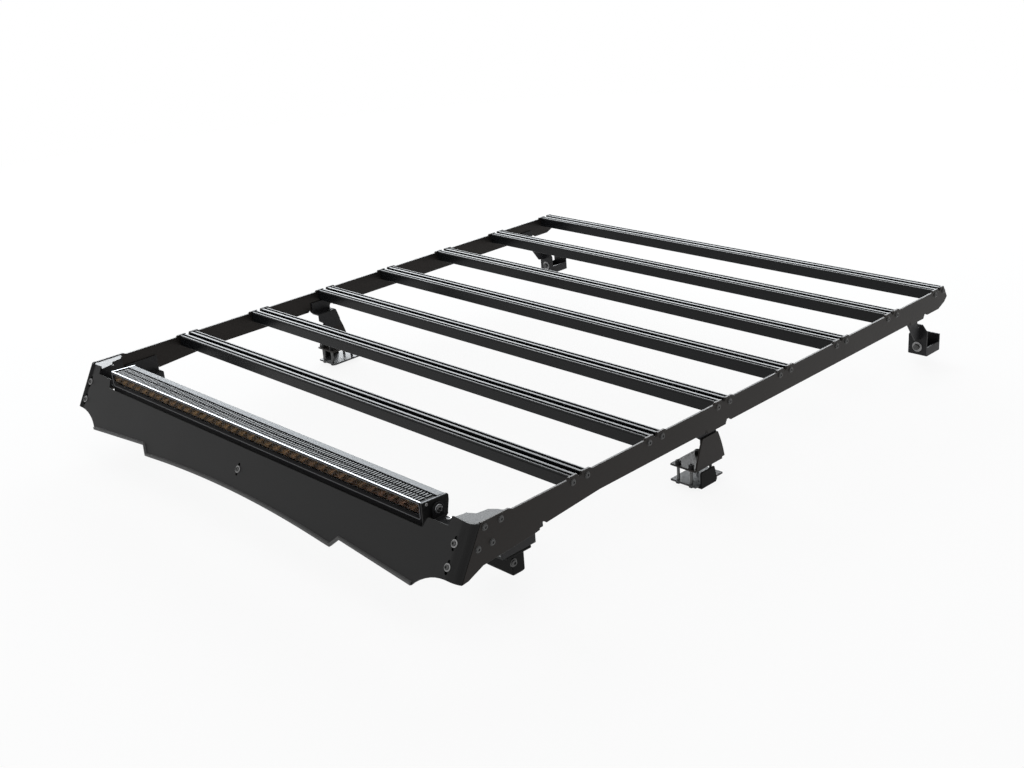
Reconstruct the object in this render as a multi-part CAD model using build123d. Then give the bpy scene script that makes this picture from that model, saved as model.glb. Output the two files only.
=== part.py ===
from build123d import *
from math import cos, radians, sin, tan
import os

# Millimetres. X runs across the rack, Y towards its rear, Z up. Sizes and functions use the
# deck's own zero: Y 0 at the front edge of the first slat, Z 0 at the top of the slats. The
# last step moves everything so that the origin is the middle of the footprint at foot level.

# Cross slats
SLAT_COUNT = 7
SLAT_PITCH = 201.5
SLAT_LENGTH = 1245.0
SLAT_WIDTH = 45.0
SLAT_HEIGHT = 25.0
SLOT_MOUTH = 11.0
SLOT_WIDTH = 20.0
SLOT_LIP = 3.5
SLOT_DEPTH = 13.0
GROOVE_WIDTH = 6.5
GROOVE_DEPTH = 2.5
GROOVE_INSET = 5.0

# Side rails
RAIL_THICKNESS = 5.0
RAIL_TOP = -2.5
RAIL_BOTTOM = -49.5
EAR_TOP = 1.0
EAR_LENGTH = 21.0
EAR_RAMP = 4.0
NOTCH_BOTTOM = -5.0
TAIL_LENGTH = 59.0
TAIL_NOSE = -28.0
TAB_LENGTH = 54.0
TAB_LOW = -54.0
RELIEF_LENGTH = 12.0
RELIEF_RISE = 5.0
DROP_START = 70.0
DROP_LOW = -59.0
WING_TOP = 1.5
WING_LENGTH = 72.0
WING_STEP = 8.0
WING_HEEL = -81.0
WING_LOW_REAR = -66.0
WING_LOW_FRONT = -75.0
WING_TIP = -91.0

# Fairing
FAIRING_TOP_Y = -232.0
FAIRING_TOP_Z = 11.0
FAIRING_LEAN = 25.7
FAIRING_THICKNESS = 3.0
FAIRING_BEND = 12.0
FAIRING_RETURN = 4.0
EAR_WIDTH = 71.5
SHELF_WIDTH = 50.0
SHELF_DROP = 17.0
RECESS_DROP = 38.0
ARCH_CENTRE = 123.5
ARCH_EDGE = 137.5
ARCH_HALF = 310.0
STEP_RUN = 21.0
STEP_TOP = 118.5
CORNER_MARGIN = 98.5
CORNER_DROP = 135.0
SCALLOP_MARGIN = 67.5
SCALLOP_MIDDLE_DROP = 113.5
SCALLOP_END_DROP = 101.0
SIDE_DROP = 105.0
TRIM_WIDTH = 9.5
TRIM_WALL = 1.5
HOLE_DROP = 42.0
HOLE_SPACING = 39.0

# Corner brackets
BRACKET_SHEET = 3.0
BRACKET_REACH = 48.5
BRACKET_SCALLOP = 14.0
BRACKET_REAR = -153.0
BRACKET_LOW = -62.0
SHELF_TAB_TOP = -30.0
SHELF_TAB_LENGTH = 40.0
SHELF_TAB_OVERLAP = 12.0

# Light bar
LAMP_MARGIN = 113.5
LAMP_DEPTH = 56.0
LAMP_SETBACK = 4.0
LAMP_TOP = 10.0
LAMP_FALL = 3.0
LAMP_BOTTOM = -38.0
LAMP_WALL = 4.0
LAMP_WINDOW = 19.0
FIN_BED_INSET = 5.0
FIN_BED_WIDTH = 34.0
FIN_BED_DEPTH = 2.0
LENS_THICKNESS = 3.0
REFLECTOR_DEPTH = 14.0
REFLECTOR_COUNT = 36
END_CAP_THICKNESS = 4.0
LAMP_ARM_THICKNESS = 4.0
LAMP_ARM_WIDTH = 24.0
LAMP_PIVOT_RISE = 20.0
LAMP_FOOT_REACH = 40.0

# Fasteners, drawn as plain faceted heads
BOLT_SIDES = 12
BOLT_HEAD = 10.5
BOLT_HEAD_HEIGHT = 3.0
BOLT_TAPER = 12.0
BOLT_SHANK = 5.0
HOLE_CLEARANCE = 0.5
SLAT_BOLT_INSET = 4.5
SLAT_BOLT_DROP = 10.5
WASHER_DIAMETER = 13.0
WASHER_THICKNESS = 1.5

# Feet
SHEET = 4.0
FOOT_INSET = 20.5
SLAT_CLEARANCE = 2.0
HANGER_LOW = -56.0
MIDDLE_OFFSET = 12.5
MIDDLE_LIP_LOW = -96.0
RISER_TOP = -78.0
RISER_TOP_LENGTH = 47.0
RISER_LOW_LENGTH = 88.0
RISER_BULGE = 2.0
MIDDLE_PLATE_TOP = -137.0
MIDDLE_PLATE_WIDTH = 62.0
MIDDLE_PLATE_LENGTH = 85.0
CLAMP_GAP = 29.0
CLAMP_BOLT = 6.0
CLAMP_HEAD = 10.0
CLAMP_HEAD_HEIGHT = 8.0
CLAMP_SPACING_X = 32.0
CLAMP_SPACING_Y = 60.0
SADDLE_WIDTH = 26.0
SADDLE_LENGTH = 46.0
SADDLE_LOW = -180.0
FRONT_FOOT = -108.0
FRONT_FOOT_LENGTH = 80.0
FRONT_WEB = -62.0
FRONT_FLANGE_LOW = -103.0
FRONT_PAD = 6.0
FRONT_BLOCK_LENGTH = 70.0
FRONT_BLOCK_DEPTH = 29.0
FRONT_BLOCK_HEIGHT = 40.0
FRONT_BOLT_DROP = 12.0
REAR_TAB_INSET = 130.0
CUP_SETBACK = 58.0
CUP_LENGTH = 61.0
CUP_WIDTH = 46.0
CUP_LOW = -158.0
CUP_RIM = -137.0
CUP_BACK_TOP = -118.0
REAR_PLATE_TOP = -82.0
REAR_STRUT_LOW = -118.0
REAR_WASHER = 24.0

# Values that follow from the sizes above
RAIL_INNER = SLAT_LENGTH / 2
RAIL_OUTER = RAIL_INNER + RAIL_THICKNESS
LAST_SLAT = (SLAT_COUNT - 1) * SLAT_PITCH
TAIL = LAST_SLAT + TAIL_LENGTH
MIDDLE_TAB = LAST_SLAT / 3
REAR_TAB = TAIL - REAR_TAB_INSET
LEAN = radians(FAIRING_LEAN)
BEND_DEPTH = FAIRING_BEND + FAIRING_RETURN
EAR_INNER = RAIL_OUTER - EAR_WIDTH
SHELF_INNER = EAR_INNER - SHELF_WIDTH
CORNER_HALF = RAIL_OUTER - CORNER_MARGIN
BRACKET_INNER = RAIL_INNER - BRACKET_REACH
LAMP_HALF = RAIL_INNER - LAMP_MARGIN
LAMP_FRONT = FAIRING_TOP_Y - LAMP_SETBACK
LAMP_REAR = LAMP_FRONT + LAMP_DEPTH
LAMP_PIVOT_Y = (LAMP_FRONT + LAMP_REAR) / 2 + LAMP_WALL
LAMP_PIVOT_Z = SHELF_TAB_TOP + LAMP_PIVOT_RISE
ARM_INNER = LAMP_HALF + END_CAP_THICKNESS
FOOT_OUTER = RAIL_INNER - FOOT_INSET
HANGER_TOP = -SLAT_HEIGHT - SLAT_CLEARANCE
MIDDLE_FOOT = MIDDLE_TAB + MIDDLE_OFFSET
LOWER_PLATE_TOP = MIDDLE_PLATE_TOP - SHEET - CLAMP_GAP
CLAMP_X = FOOT_OUTER - MIDDLE_PLATE_WIDTH / 2
CUP_FRONT = REAR_TAB + CUP_SETBACK
CUP_OUTER = RAIL_INNER - BOLT_HEAD_HEIGHT / 2
CUP_INNER = CUP_OUTER - CUP_WIDTH
FAIRING_FACE = Plane(
    origin=(0, FAIRING_TOP_Y, FAIRING_TOP_Z),
    x_dir=(1, 0, 0),
    z_dir=(0, -cos(LEAN), sin(LEAN)),
)


def lean_y(z, depth):
    """Y of the plane that lies depth behind the fairing's front face, at height z."""
    return FAIRING_TOP_Y + (z - FAIRING_TOP_Z) * tan(LEAN) + depth / cos(LEAN)


def block(x, y, z):
    """Box between the low and high values given for each axis."""
    middle = Pos(sum(x) / 2, sum(y) / 2, sum(z) / 2)
    return middle * Box(x[1] - x[0], y[1] - y[0], z[1] - z[0])


def span(centre, length):
    """Low and high value of a length about its centre."""
    return (centre - length / 2, centre + length / 2)


def plate_yz(outline, x_low, x_high):
    """Plate with the given outline of (Y, Z) points, between two values of X."""
    face = make_face(Polyline(*outline, close=True))
    return extrude(Plane.YZ.offset(x_low) * face, x_high - x_low)


def prism(start, direction, diameter, length, taper=0):
    """Faceted rod from a start point along a direction."""
    face = Plane(origin=start, z_dir=direction) * RegularPolygon(diameter / 2, BOLT_SIDES)
    return extrude(face, length, taper=taper)


def head(seat, direction, diameter=BOLT_HEAD, height=BOLT_HEAD_HEIGHT):
    """Button head of a bolt, standing on its seat."""
    return prism(seat, direction, diameter, height, BOLT_TAPER)


def mirrored(shape):
    return mirror(shape, about=Plane.YZ)


def slat_bolt_places():
    """Y of both bolts at the end of every slat."""
    insets = (SLAT_BOLT_INSET, SLAT_WIDTH - SLAT_BOLT_INSET)
    return [i * SLAT_PITCH + inset for i in range(SLAT_COUNT) for inset in insets]


def slat_profile():
    """Slat section with a T-slot in the middle and one narrow groove on each side."""
    middle = SLAT_WIDTH / 2
    chamber_height = SLOT_DEPTH - SLOT_LIP
    profile = Pos(middle, -SLAT_HEIGHT / 2) * Rectangle(SLAT_WIDTH, SLAT_HEIGHT)
    profile -= Pos(middle, -SLOT_LIP / 2) * Rectangle(SLOT_MOUTH, SLOT_LIP)
    profile -= Pos(middle, -SLOT_LIP - chamber_height / 2) * Rectangle(SLOT_WIDTH, chamber_height)
    groove_middle = GROOVE_INSET + GROOVE_WIDTH / 2
    for y in (groove_middle, SLAT_WIDTH - groove_middle):
        profile -= Pos(y, -GROOVE_DEPTH / 2) * Rectangle(GROOVE_WIDTH, GROOVE_DEPTH)
    return profile


def slat():
    return extrude(Plane.YZ.offset(-SLAT_LENGTH / 2) * slat_profile(), SLAT_LENGTH)


def rail_top_edge():
    """Points of the rail's top edge with two ears and a notch at every slat, front to rear."""
    notch_ramp = EAR_RAMP / 2
    edge = []
    for i in range(SLAT_COUNT):
        start = i * SLAT_PITCH - EAR_RAMP
        end = i * SLAT_PITCH + SLAT_WIDTH + EAR_RAMP
        edge.append((start - EAR_RAMP, RAIL_TOP))
        edge.append((start, EAR_TOP))
        edge.append((start + EAR_LENGTH, EAR_TOP))
        edge.append((start + EAR_LENGTH + notch_ramp, NOTCH_BOTTOM))
        edge.append((end - EAR_LENGTH - notch_ramp, NOTCH_BOTTOM))
        edge.append((end - EAR_LENGTH, EAR_TOP))
        if i < SLAT_COUNT - 1:
            edge.append((end, EAR_TOP))
            edge.append((end + EAR_RAMP, RAIL_TOP))
    return edge


def foot_tab(centre):
    """Points of one foot tab with its relief notches on the rail's bottom edge, rear to front."""
    front, rear = span(centre, TAB_LENGTH)
    relief = RAIL_BOTTOM + RELIEF_RISE
    return [
        (rear + RELIEF_LENGTH + RELIEF_RISE, RAIL_BOTTOM),
        (rear + RELIEF_LENGTH, relief),
        (rear + RELIEF_RISE, relief),
        (rear, TAB_LOW),
        (front, TAB_LOW),
        (front - RELIEF_RISE, relief),
        (front - 2 * RELIEF_RISE, RAIL_BOTTOM),
    ]


def rail_strip():
    """The straight part of the rail, from the wing to the cut-off tail."""
    rise = TAIL_NOSE - RAIL_BOTTOM
    outline = [(WING_HEEL, WING_LOW_REAR), (WING_HEEL, RAIL_TOP)]
    outline += rail_top_edge()
    outline.append((TAIL - (EAR_TOP - TAIL_NOSE) * 0.6, EAR_TOP))
    outline.append((TAIL, TAIL_NOSE))
    outline.append((TAIL - rise / 2, RAIL_BOTTOM + rise / 2))
    outline.append((TAIL - rise * 1.7, RAIL_BOTTOM))
    outline += foot_tab(REAR_TAB)
    outline += foot_tab(MIDDLE_TAB)
    outline.append((DROP_START, RAIL_BOTTOM))
    outline.append((WING_HEEL + RELIEF_LENGTH + RELIEF_RISE, DROP_LOW))
    outline.append((WING_HEEL + RELIEF_LENGTH, DROP_LOW + RELIEF_RISE))
    outline.append((WING_HEEL + RELIEF_RISE / 2, DROP_LOW + RELIEF_RISE))
    return plate_yz(outline, RAIL_INNER, RAIL_OUTER)


def rail_wing():
    """The deeper front part of the rail, cut parallel to the fairing."""
    wing_rear = lean_y(WING_TOP, BEND_DEPTH) + WING_LENGTH
    side_y = FAIRING_TOP_Y - SIDE_DROP * sin(LEAN) + BEND_DEPTH * cos(LEAN)
    side_z = FAIRING_TOP_Z - SIDE_DROP * cos(LEAN) - BEND_DEPTH * sin(LEAN)
    outline = [
        (lean_y(WING_TOP, BEND_DEPTH), WING_TOP),
        (wing_rear, WING_TOP),
        (wing_rear + WING_STEP, RAIL_TOP),
        (WING_HEEL, RAIL_TOP),
        (WING_HEEL, WING_LOW_REAR),
        (WING_HEEL - 2 * WING_STEP, WING_LOW_REAR - WING_STEP / 4),
        (lean_y(WING_LOW_FRONT, BEND_DEPTH) + WING_LENGTH * 0.6, WING_LOW_FRONT),
        (side_y + BEND_DEPTH, WING_TIP + WING_STEP / 4),
        (side_y, side_z),
    ]
    return plate_yz(outline, RAIL_INNER, RAIL_OUTER)


def wing_bolt_places():
    """(Y, Z) of the four bolts that hold a corner bracket to its rail."""
    top = WING_TOP - WING_STEP * 1.3
    low = (RAIL_BOTTOM + RAIL_TOP) / 2 - 2 * WING_STEP
    front = lean_y(top, BEND_DEPTH) + 3 * WING_STEP
    return [
        (front, top),
        (front + WING_LENGTH / 2, top),
        (lean_y(low, BEND_DEPTH) + 2 * WING_STEP, low),
        (front + WING_STEP * 1.7, low),
    ]


def rail():
    return rail_strip() + rail_wing()


def fairing_half():
    """Right half of the fairing's outline, seen square to its front face."""
    arch = ThreePointArc(
        (0, -ARCH_CENTRE),
        (ARCH_HALF / 2, -ARCH_CENTRE - (ARCH_EDGE - ARCH_CENTRE) / 4),
        (ARCH_HALF, -ARCH_EDGE),
    )
    bend_start = RAIL_OUTER - FAIRING_BEND
    lower = Polyline(
        (ARCH_HALF, -ARCH_EDGE),
        (ARCH_HALF + STEP_RUN, -STEP_TOP),
        (CORNER_HALF, -CORNER_DROP),
    )
    scallop = ThreePointArc(
        (CORNER_HALF, -CORNER_DROP),
        (RAIL_OUTER - SCALLOP_MARGIN, -SCALLOP_MIDDLE_DROP),
        (bend_start, -SCALLOP_END_DROP),
    )
    upper = Polyline(
        (bend_start, -SCALLOP_END_DROP),
        (RAIL_OUTER, -SIDE_DROP),
        (RAIL_OUTER, -FAIRING_THICKNESS),
        (bend_start, 0),
        (EAR_INNER, 0),
        (EAR_INNER - FAIRING_BEND, -SHELF_DROP),
        (SHELF_INNER, -SHELF_DROP),
        (SHELF_INNER - FAIRING_BEND, -RECESS_DROP),
        (0, -RECESS_DROP),
        (0, -ARCH_CENTRE),
    )
    return make_face(arch + lower + scallop + upper)


def slot_places():
    """(X, drop down the face) of every slotted hole in the fairing, at its bolt."""
    side = RAIL_OUTER - 2.3 * FAIRING_BEND
    lower = HOLE_DROP + HOLE_SPACING
    places = [(x, drop) for x in (-side, side) for drop in (HOLE_DROP, lower)]
    places.append((0, lower))
    return places


def fairing():
    """Bent sheet with its outline, its rounded corners and its slotted holes."""
    across = Plane(origin=FAIRING_FACE.origin, x_dir=(1, 0, 0), z_dir=(0, sin(LEAN), cos(LEAN)))
    inner_bend = FAIRING_BEND - FAIRING_THICKNESS
    drop = ARCH_EDGE + CORNER_DROP
    section = Pos(0, drop / 2) * Rectangle(2 * RAIL_OUTER, drop)
    section = fillet(section.vertices().group_by(Axis.Y)[0], FAIRING_BEND)
    hollow = Pos(0, FAIRING_THICKNESS + drop / 2) * Rectangle(
        2 * (RAIL_OUTER - FAIRING_THICKNESS), drop
    )
    hollow = fillet(hollow.vertices().group_by(Axis.Y)[0], inner_bend)
    window = Pos(0, BEND_DEPTH / 2) * Rectangle(2 * RAIL_OUTER, BEND_DEPTH)
    channel = extrude(across * ((section - hollow) & window), -drop)
    half = FAIRING_FACE * fairing_half()
    outline = half + mirrored(half)
    panel = channel & extrude(outline, -BEND_DEPTH)
    slot = SlotOverall(2 * WASHER_DIAMETER, BOLT_SHANK + 2 * HOLE_CLEARANCE, rotation=90)
    for x, fall in slot_places():
        place = Pos(x, -fall + WASHER_DIAMETER - BOLT_SHANK / 2)
        panel -= extrude(FAIRING_FACE * (place * slot), -BEND_DEPTH)
    return panel


def trim(panel):
    """Edge trim folded over the bottom edge of the fairing between its scallops."""
    low = TRIM_WALL
    high = TRIM_WALL - TRIM_WIDTH

    def arch(shift):
        return ThreePointArc(
            (-ARCH_HALF, -ARCH_EDGE - shift), (0, -ARCH_CENTRE - shift), (ARCH_HALF, -ARCH_EDGE - shift)
        )

    def side(shift, sign):
        return Polyline(
            (sign * CORNER_HALF, -CORNER_DROP - shift),
            (sign * (ARCH_HALF + STEP_RUN), -STEP_TOP - shift),
            (sign * ARCH_HALF, -ARCH_EDGE - shift),
        )

    outline = arch(low) + arch(high)
    for sign in (-1, 1):
        outline += side(low, sign) + side(high, sign)
        end_x = sign * CORNER_HALF
        outline += Line((end_x, -CORNER_DROP - low), (end_x, -CORNER_DROP - high))
    band = FAIRING_FACE * (Pos(0, 0, TRIM_WALL) * make_face(outline))
    return extrude(band, -FAIRING_THICKNESS - 2 * TRIM_WALL) - panel


def bracket_flange(top, front):
    """Outline of the corner bracket's top flange, with its scalloped free edge."""
    bend = FAIRING_BEND
    return Polyline(
        (BRACKET_INNER, front),
        (RAIL_INNER - bend, front),
        (RAIL_INNER, front + bend),
        (RAIL_INNER, BRACKET_REAR),
        (RAIL_INNER - bend, BRACKET_REAR - BRACKET_SCALLOP / 3),
        (RAIL_INNER - 2 * bend, BRACKET_REAR - BRACKET_SCALLOP),
        (RAIL_INNER - 2.3 * bend, BRACKET_REAR - 2.6 * BRACKET_SCALLOP),
        (RAIL_INNER - 3.5 * bend, BRACKET_REAR - 3.2 * BRACKET_SCALLOP),
        close=True,
    )


def corner_bracket():
    """Right corner bracket: top flange, side flange, front flange and the tab for the lamp."""
    top = WING_TOP - TRIM_WALL
    front_y = lean_y(top, FAIRING_THICKNESS)
    sheet = extrude(Plane.XY.offset(top) * make_face(bracket_flange(top, front_y)), -BRACKET_SHEET)
    front = BEND_DEPTH + HOLE_CLEARANCE
    side_outline = [
        (lean_y(top, front), top),
        (BRACKET_REAR, top),
        (BRACKET_REAR, RAIL_BOTTOM / 2),
        (lean_y(BRACKET_LOW, front) + WING_LENGTH, BRACKET_LOW),
        (lean_y(BRACKET_LOW, front), BRACKET_LOW),
    ]
    side = plate_yz(side_outline, RAIL_INNER - BRACKET_SHEET, RAIL_INNER)
    face_low = SCALLOP_END_DROP - FAIRING_BEND
    face_top = SHELF_DROP + TRIM_WALL
    face_outer = RAIL_INNER - FAIRING_BEND
    behind = FAIRING_FACE.offset(-FAIRING_THICKNESS)
    face_mid = Pos((BRACKET_INNER + face_outer) / 2, -(face_low + face_top) / 2)
    face = Rectangle(face_outer - BRACKET_INNER, face_low - face_top)
    front_flange = extrude(behind * (face_mid * face), -BRACKET_SHEET)
    tab_front = lean_y(SHELF_TAB_TOP, FAIRING_THICKNESS + FAIRING_BEND)
    tab_rear = tab_front + SHELF_TAB_LENGTH
    tab = block(
        (ARM_INNER + SHELF_TAB_OVERLAP, RAIL_INNER - BRACKET_SHEET / 2),
        (tab_front, tab_rear),
        (SHELF_TAB_TOP - BRACKET_SHEET, SHELF_TAB_TOP),
    )
    web_front = FAIRING_THICKNESS + BRACKET_SHEET / 2
    web = plate_yz(
        [
            (lean_y(top, web_front), top - BRACKET_SHEET / 2),
            (BRACKET_REAR - 3 * BRACKET_SCALLOP, top - BRACKET_SHEET / 2),
            (tab_rear, SHELF_TAB_TOP - BRACKET_SHEET),
            (lean_y(SHELF_TAB_TOP - BRACKET_SHEET, web_front), SHELF_TAB_TOP - BRACKET_SHEET),
        ],
        BRACKET_INNER + BRACKET_SHEET,
        BRACKET_INNER + 2 * BRACKET_SHEET,
    )
    return sheet + side + front_flange + tab + web


def lamp_outline():
    """Section of the light bar's housing, with the sunk bed that carries its fins."""
    bed_front = LAMP_FRONT + FIN_BED_INSET
    bed_rear = bed_front + FIN_BED_WIDTH
    return [
        (LAMP_FRONT, LAMP_TOP),
        (bed_front, LAMP_TOP),
        (bed_front, LAMP_TOP - FIN_BED_DEPTH),
        (bed_rear, LAMP_TOP - LAMP_FALL / 2 - FIN_BED_DEPTH),
        (bed_rear, LAMP_TOP - LAMP_FALL / 2),
        (LAMP_REAR, LAMP_TOP - LAMP_FALL),
        (LAMP_REAR, LAMP_BOTTOM + 2 * LAMP_WALL),
        (LAMP_REAR - 3 * LAMP_WALL, LAMP_BOTTOM),
        (LAMP_FRONT + LAMP_WALL, LAMP_BOTTOM),
        (LAMP_FRONT, LAMP_BOTTOM + LAMP_WALL),
    ]


def lamp_cavity(front, rear):
    """Space behind the front rim of the light bar."""
    return block(
        (LAMP_WALL - LAMP_HALF, LAMP_HALF - LAMP_WALL),
        (front, rear),
        (LAMP_TOP - LAMP_WALL - LAMP_WINDOW, LAMP_TOP - LAMP_WALL),
    )


def lamp_housing():
    body = plate_yz(lamp_outline(), -LAMP_HALF, LAMP_HALF)
    return body - lamp_cavity(LAMP_FRONT, LAMP_FRONT + LENS_THICKNESS + REFLECTOR_DEPTH)


def lamp_lens():
    return lamp_cavity(LAMP_FRONT, LAMP_FRONT + LENS_THICKNESS)


def lamp_reflectors():
    """Reflector strip behind the lens with one four-sided pocket for each cell."""
    front = LAMP_FRONT + LENS_THICKNESS
    strip = lamp_cavity(front, front + REFLECTOR_DEPTH)
    pitch = 2 * (LAMP_HALF - 2 * LAMP_WALL) / REFLECTOR_COUNT
    middle = LAMP_TOP - LAMP_WALL - LAMP_WINDOW / 2
    mouth = 0.88 * min(pitch, LAMP_WINDOW)
    depth = 0.7 * REFLECTOR_DEPTH
    for i in range(REFLECTOR_COUNT):
        x = (i - (REFLECTOR_COUNT - 1) / 2) * pitch
        face = Plane(origin=(x, front, middle), z_dir=(0, 1, 0)) * Rectangle(mouth, mouth)
        strip -= extrude(face, depth, taper=FAIRING_LEAN)
    return strip


def lamp_end_cap():
    """End cap of the light bar, with the lobe behind its rear edge."""
    return plate_yz(
        [
            (LAMP_FRONT, LAMP_TOP),
            (LAMP_REAR + LAMP_WALL / 2, LAMP_TOP - LAMP_FALL),
            (LAMP_REAR + LAMP_WALL, LAMP_TOP - 2 * LAMP_FALL),
            (LAMP_REAR + LAMP_WALL, LAMP_TOP - 5 * LAMP_FALL),
            (LAMP_REAR, LAMP_BOTTOM + 3 * LAMP_WALL),
            (LAMP_REAR, LAMP_BOTTOM + 2 * LAMP_WALL),
            (LAMP_REAR - 3 * LAMP_WALL, LAMP_BOTTOM),
            (LAMP_FRONT + LAMP_WALL, LAMP_BOTTOM),
            (LAMP_FRONT, LAMP_BOTTOM + LAMP_WALL),
        ],
        LAMP_HALF,
        ARM_INNER,
    )


def lamp_arm():
    """Angle bracket between the light bar's end and the tab of the corner bracket."""
    outer = ARM_INNER + LAMP_ARM_THICKNESS
    foot_y = span(LAMP_PIVOT_Y, LAMP_ARM_WIDTH)
    leg = block((ARM_INNER, outer), foot_y, (SHELF_TAB_TOP, LAMP_PIVOT_Z))
    foot = block(
        (ARM_INNER, ARM_INNER + LAMP_FOOT_REACH),
        foot_y,
        (SHELF_TAB_TOP, SHELF_TAB_TOP + LAMP_ARM_THICKNESS),
    )
    pivot = (ARM_INNER, LAMP_PIVOT_Y, LAMP_PIVOT_Z)
    return leg + foot + prism(pivot, (1, 0, 0), LAMP_ARM_WIDTH, LAMP_ARM_THICKNESS)


def lamp_bolts():
    """Pivot bolt of the light bar and the foot bolt of its arm, on the right."""
    pivot = (ARM_INNER + LAMP_ARM_THICKNESS, LAMP_PIVOT_Y, LAMP_PIVOT_Z)
    foot = (
        ARM_INNER + 0.7 * LAMP_FOOT_REACH,
        LAMP_PIVOT_Y,
        SHELF_TAB_TOP + LAMP_ARM_THICKNESS,
    )
    return [head(pivot, (1, 0, 0)), head(foot, (0, 0, 1), WASHER_DIAMETER, CLAMP_HEAD_HEIGHT)]


def slat_bolts():
    return [head((RAIL_OUTER, y, -SLAT_BOLT_DROP), (1, 0, 0)) for y in slat_bolt_places()]


def wing_bolts():
    return [head((RAIL_OUTER, y, z), (1, 0, 0)) for y, z in wing_bolt_places()]


def fairing_bolts(x_sign):
    """Washer and bolt in every slotted hole on one side of the fairing, or in its middle."""
    made = []
    front = (0, -cos(LEAN), sin(LEAN))
    for x, fall in slot_places():
        if x * x_sign < 0 or (x == 0) != (x_sign == 0):
            continue
        seat = FAIRING_FACE.from_local_coords((x, -fall, 0))
        head_seat = FAIRING_FACE.from_local_coords((x, -fall, WASHER_THICKNESS))
        made.append(prism(seat, front, WASHER_DIAMETER, WASHER_THICKNESS) + head(head_seat, front))
    return made


def rail_leg(y, low=HANGER_LOW):
    """Leg of a foot's hanger, flat on the rail's inner face."""
    return block((RAIL_INNER - SHEET, RAIL_INNER), y, (low, HANGER_TOP))


def middle_hanger():
    """Bracket behind the rail: a leg on the rail, a floor and a lip behind the riser."""
    y = span(MIDDLE_TAB, TAB_LENGTH)
    inner = FOOT_OUTER - 2 * SHEET
    top = HANGER_LOW + SHEET
    riser_front, riser_rear = span(MIDDLE_FOOT, RISER_TOP_LENGTH)
    lip = plate_yz(
        [
            (y[0], top),
            (y[1], top),
            (riser_rear, RISER_TOP),
            (riser_rear, MIDDLE_LIP_LOW),
            (riser_front, MIDDLE_LIP_LOW),
            (riser_front, RISER_TOP - SHEET),
            (y[0], RISER_TOP + 2 * SHEET),
        ],
        inner,
        inner + SHEET,
    )
    return rail_leg(y) + block((inner, RAIL_INNER), y, (HANGER_LOW, top)) + lip


def clamp_places():
    """(X, Y) of the four bolts of the middle foot."""
    y = MIDDLE_FOOT - MIDDLE_OFFSET
    return [(a, b) for a in span(CLAMP_X, CLAMP_SPACING_X) for b in span(y, CLAMP_SPACING_Y)]


def middle_plate(top):
    """Horizontal plate of the middle foot at the given height, with four bolt holes."""
    plate = block(
        (FOOT_OUTER - MIDDLE_PLATE_WIDTH, FOOT_OUTER),
        span(MIDDLE_FOOT - MIDDLE_OFFSET / 2, MIDDLE_PLATE_LENGTH),
        (top - SHEET, top),
    )
    for x, y in clamp_places():
        plate -= prism((x, y, top), (0, 0, -1), CLAMP_BOLT, SHEET)
    return plate


def middle_riser():
    """Flared riser of the middle foot, in one piece with its upper plate."""
    top = span(MIDDLE_FOOT, RISER_TOP_LENGTH)
    low = span(MIDDLE_FOOT, RISER_LOW_LENGTH)
    waist = (RISER_TOP + MIDDLE_PLATE_TOP) / 2
    front = ThreePointArc(
        (top[0], RISER_TOP),
        ((top[0] + low[0]) / 2 - RISER_BULGE, waist),
        (low[0], MIDDLE_PLATE_TOP),
    )
    rear = ThreePointArc(
        (top[1], RISER_TOP),
        ((top[1] + low[1]) / 2 + RISER_BULGE, waist),
        (low[1], MIDDLE_PLATE_TOP),
    )
    sides = Line((top[0], RISER_TOP), (top[1], RISER_TOP))
    sides += Line((low[0], MIDDLE_PLATE_TOP), (low[1], MIDDLE_PLATE_TOP))
    face = Plane.YZ.offset(FOOT_OUTER - SHEET) * make_face(front + rear + sides)
    return extrude(face, SHEET) + middle_plate(MIDDLE_PLATE_TOP)


def clamp_bolts():
    """Four long bolts with their heads on the upper plate."""
    made = []
    for x, y in clamp_places():
        top = (x, y, MIDDLE_PLATE_TOP)
        depth = CLAMP_GAP + 2 * SHEET
        shank = prism(top, (0, 0, -1), CLAMP_BOLT, depth)
        made.append(shank + prism(top, (0, 0, 1), CLAMP_HEAD, CLAMP_HEAD_HEIGHT))
    return made


def middle_saddle():
    """Black saddle below the lower plate, with a nose that rises along its outer edge."""
    y_front, y_rear = span(MIDDLE_FOOT - MIDDLE_OFFSET, SADDLE_LENGTH)
    nose = FOOT_OUTER + SHEET
    top = LOWER_PLATE_TOP + CLAMP_GAP - SHEET
    under = LOWER_PLATE_TOP - SHEET
    foot = block((nose - 2 * SADDLE_WIDTH, nose), (y_front, y_rear), (SADDLE_LOW, under))
    wall = plate_yz(
        [
            (y_front, SADDLE_LOW),
            (y_front, top),
            (y_rear - SHEET, top),
            (y_rear + SHEET, under),
            (y_rear, SADDLE_LOW),
        ],
        FOOT_OUTER,
        nose,
    )
    return foot + wall


def front_bolt_seat():
    """Seat of the bolt on the outer face of the front foot's block."""
    y = FRONT_FOOT - FRONT_BOLT_DROP
    return (FOOT_OUTER - SHEET, y, FRONT_FLANGE_LOW - FRONT_PAD - FRONT_BOLT_DROP)


def front_block():
    """Clamp block of the front foot under its pad."""
    outer = FOOT_OUTER - SHEET
    low = FRONT_FLANGE_LOW - FRONT_PAD
    pad = block(
        (FOOT_OUTER - MIDDLE_PLATE_WIDTH, FOOT_OUTER),
        span(FRONT_FOOT, 2 * FRONT_BLOCK_DEPTH),
        (low, FRONT_FLANGE_LOW),
    )
    body = block(
        (outer - FRONT_BLOCK_LENGTH, outer),
        span(FRONT_FOOT, FRONT_BLOCK_DEPTH),
        (low - FRONT_BLOCK_HEIGHT, low),
    )
    return pad + chamfer(body.edges().group_by(Axis.Z)[0], SHEET)


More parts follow.
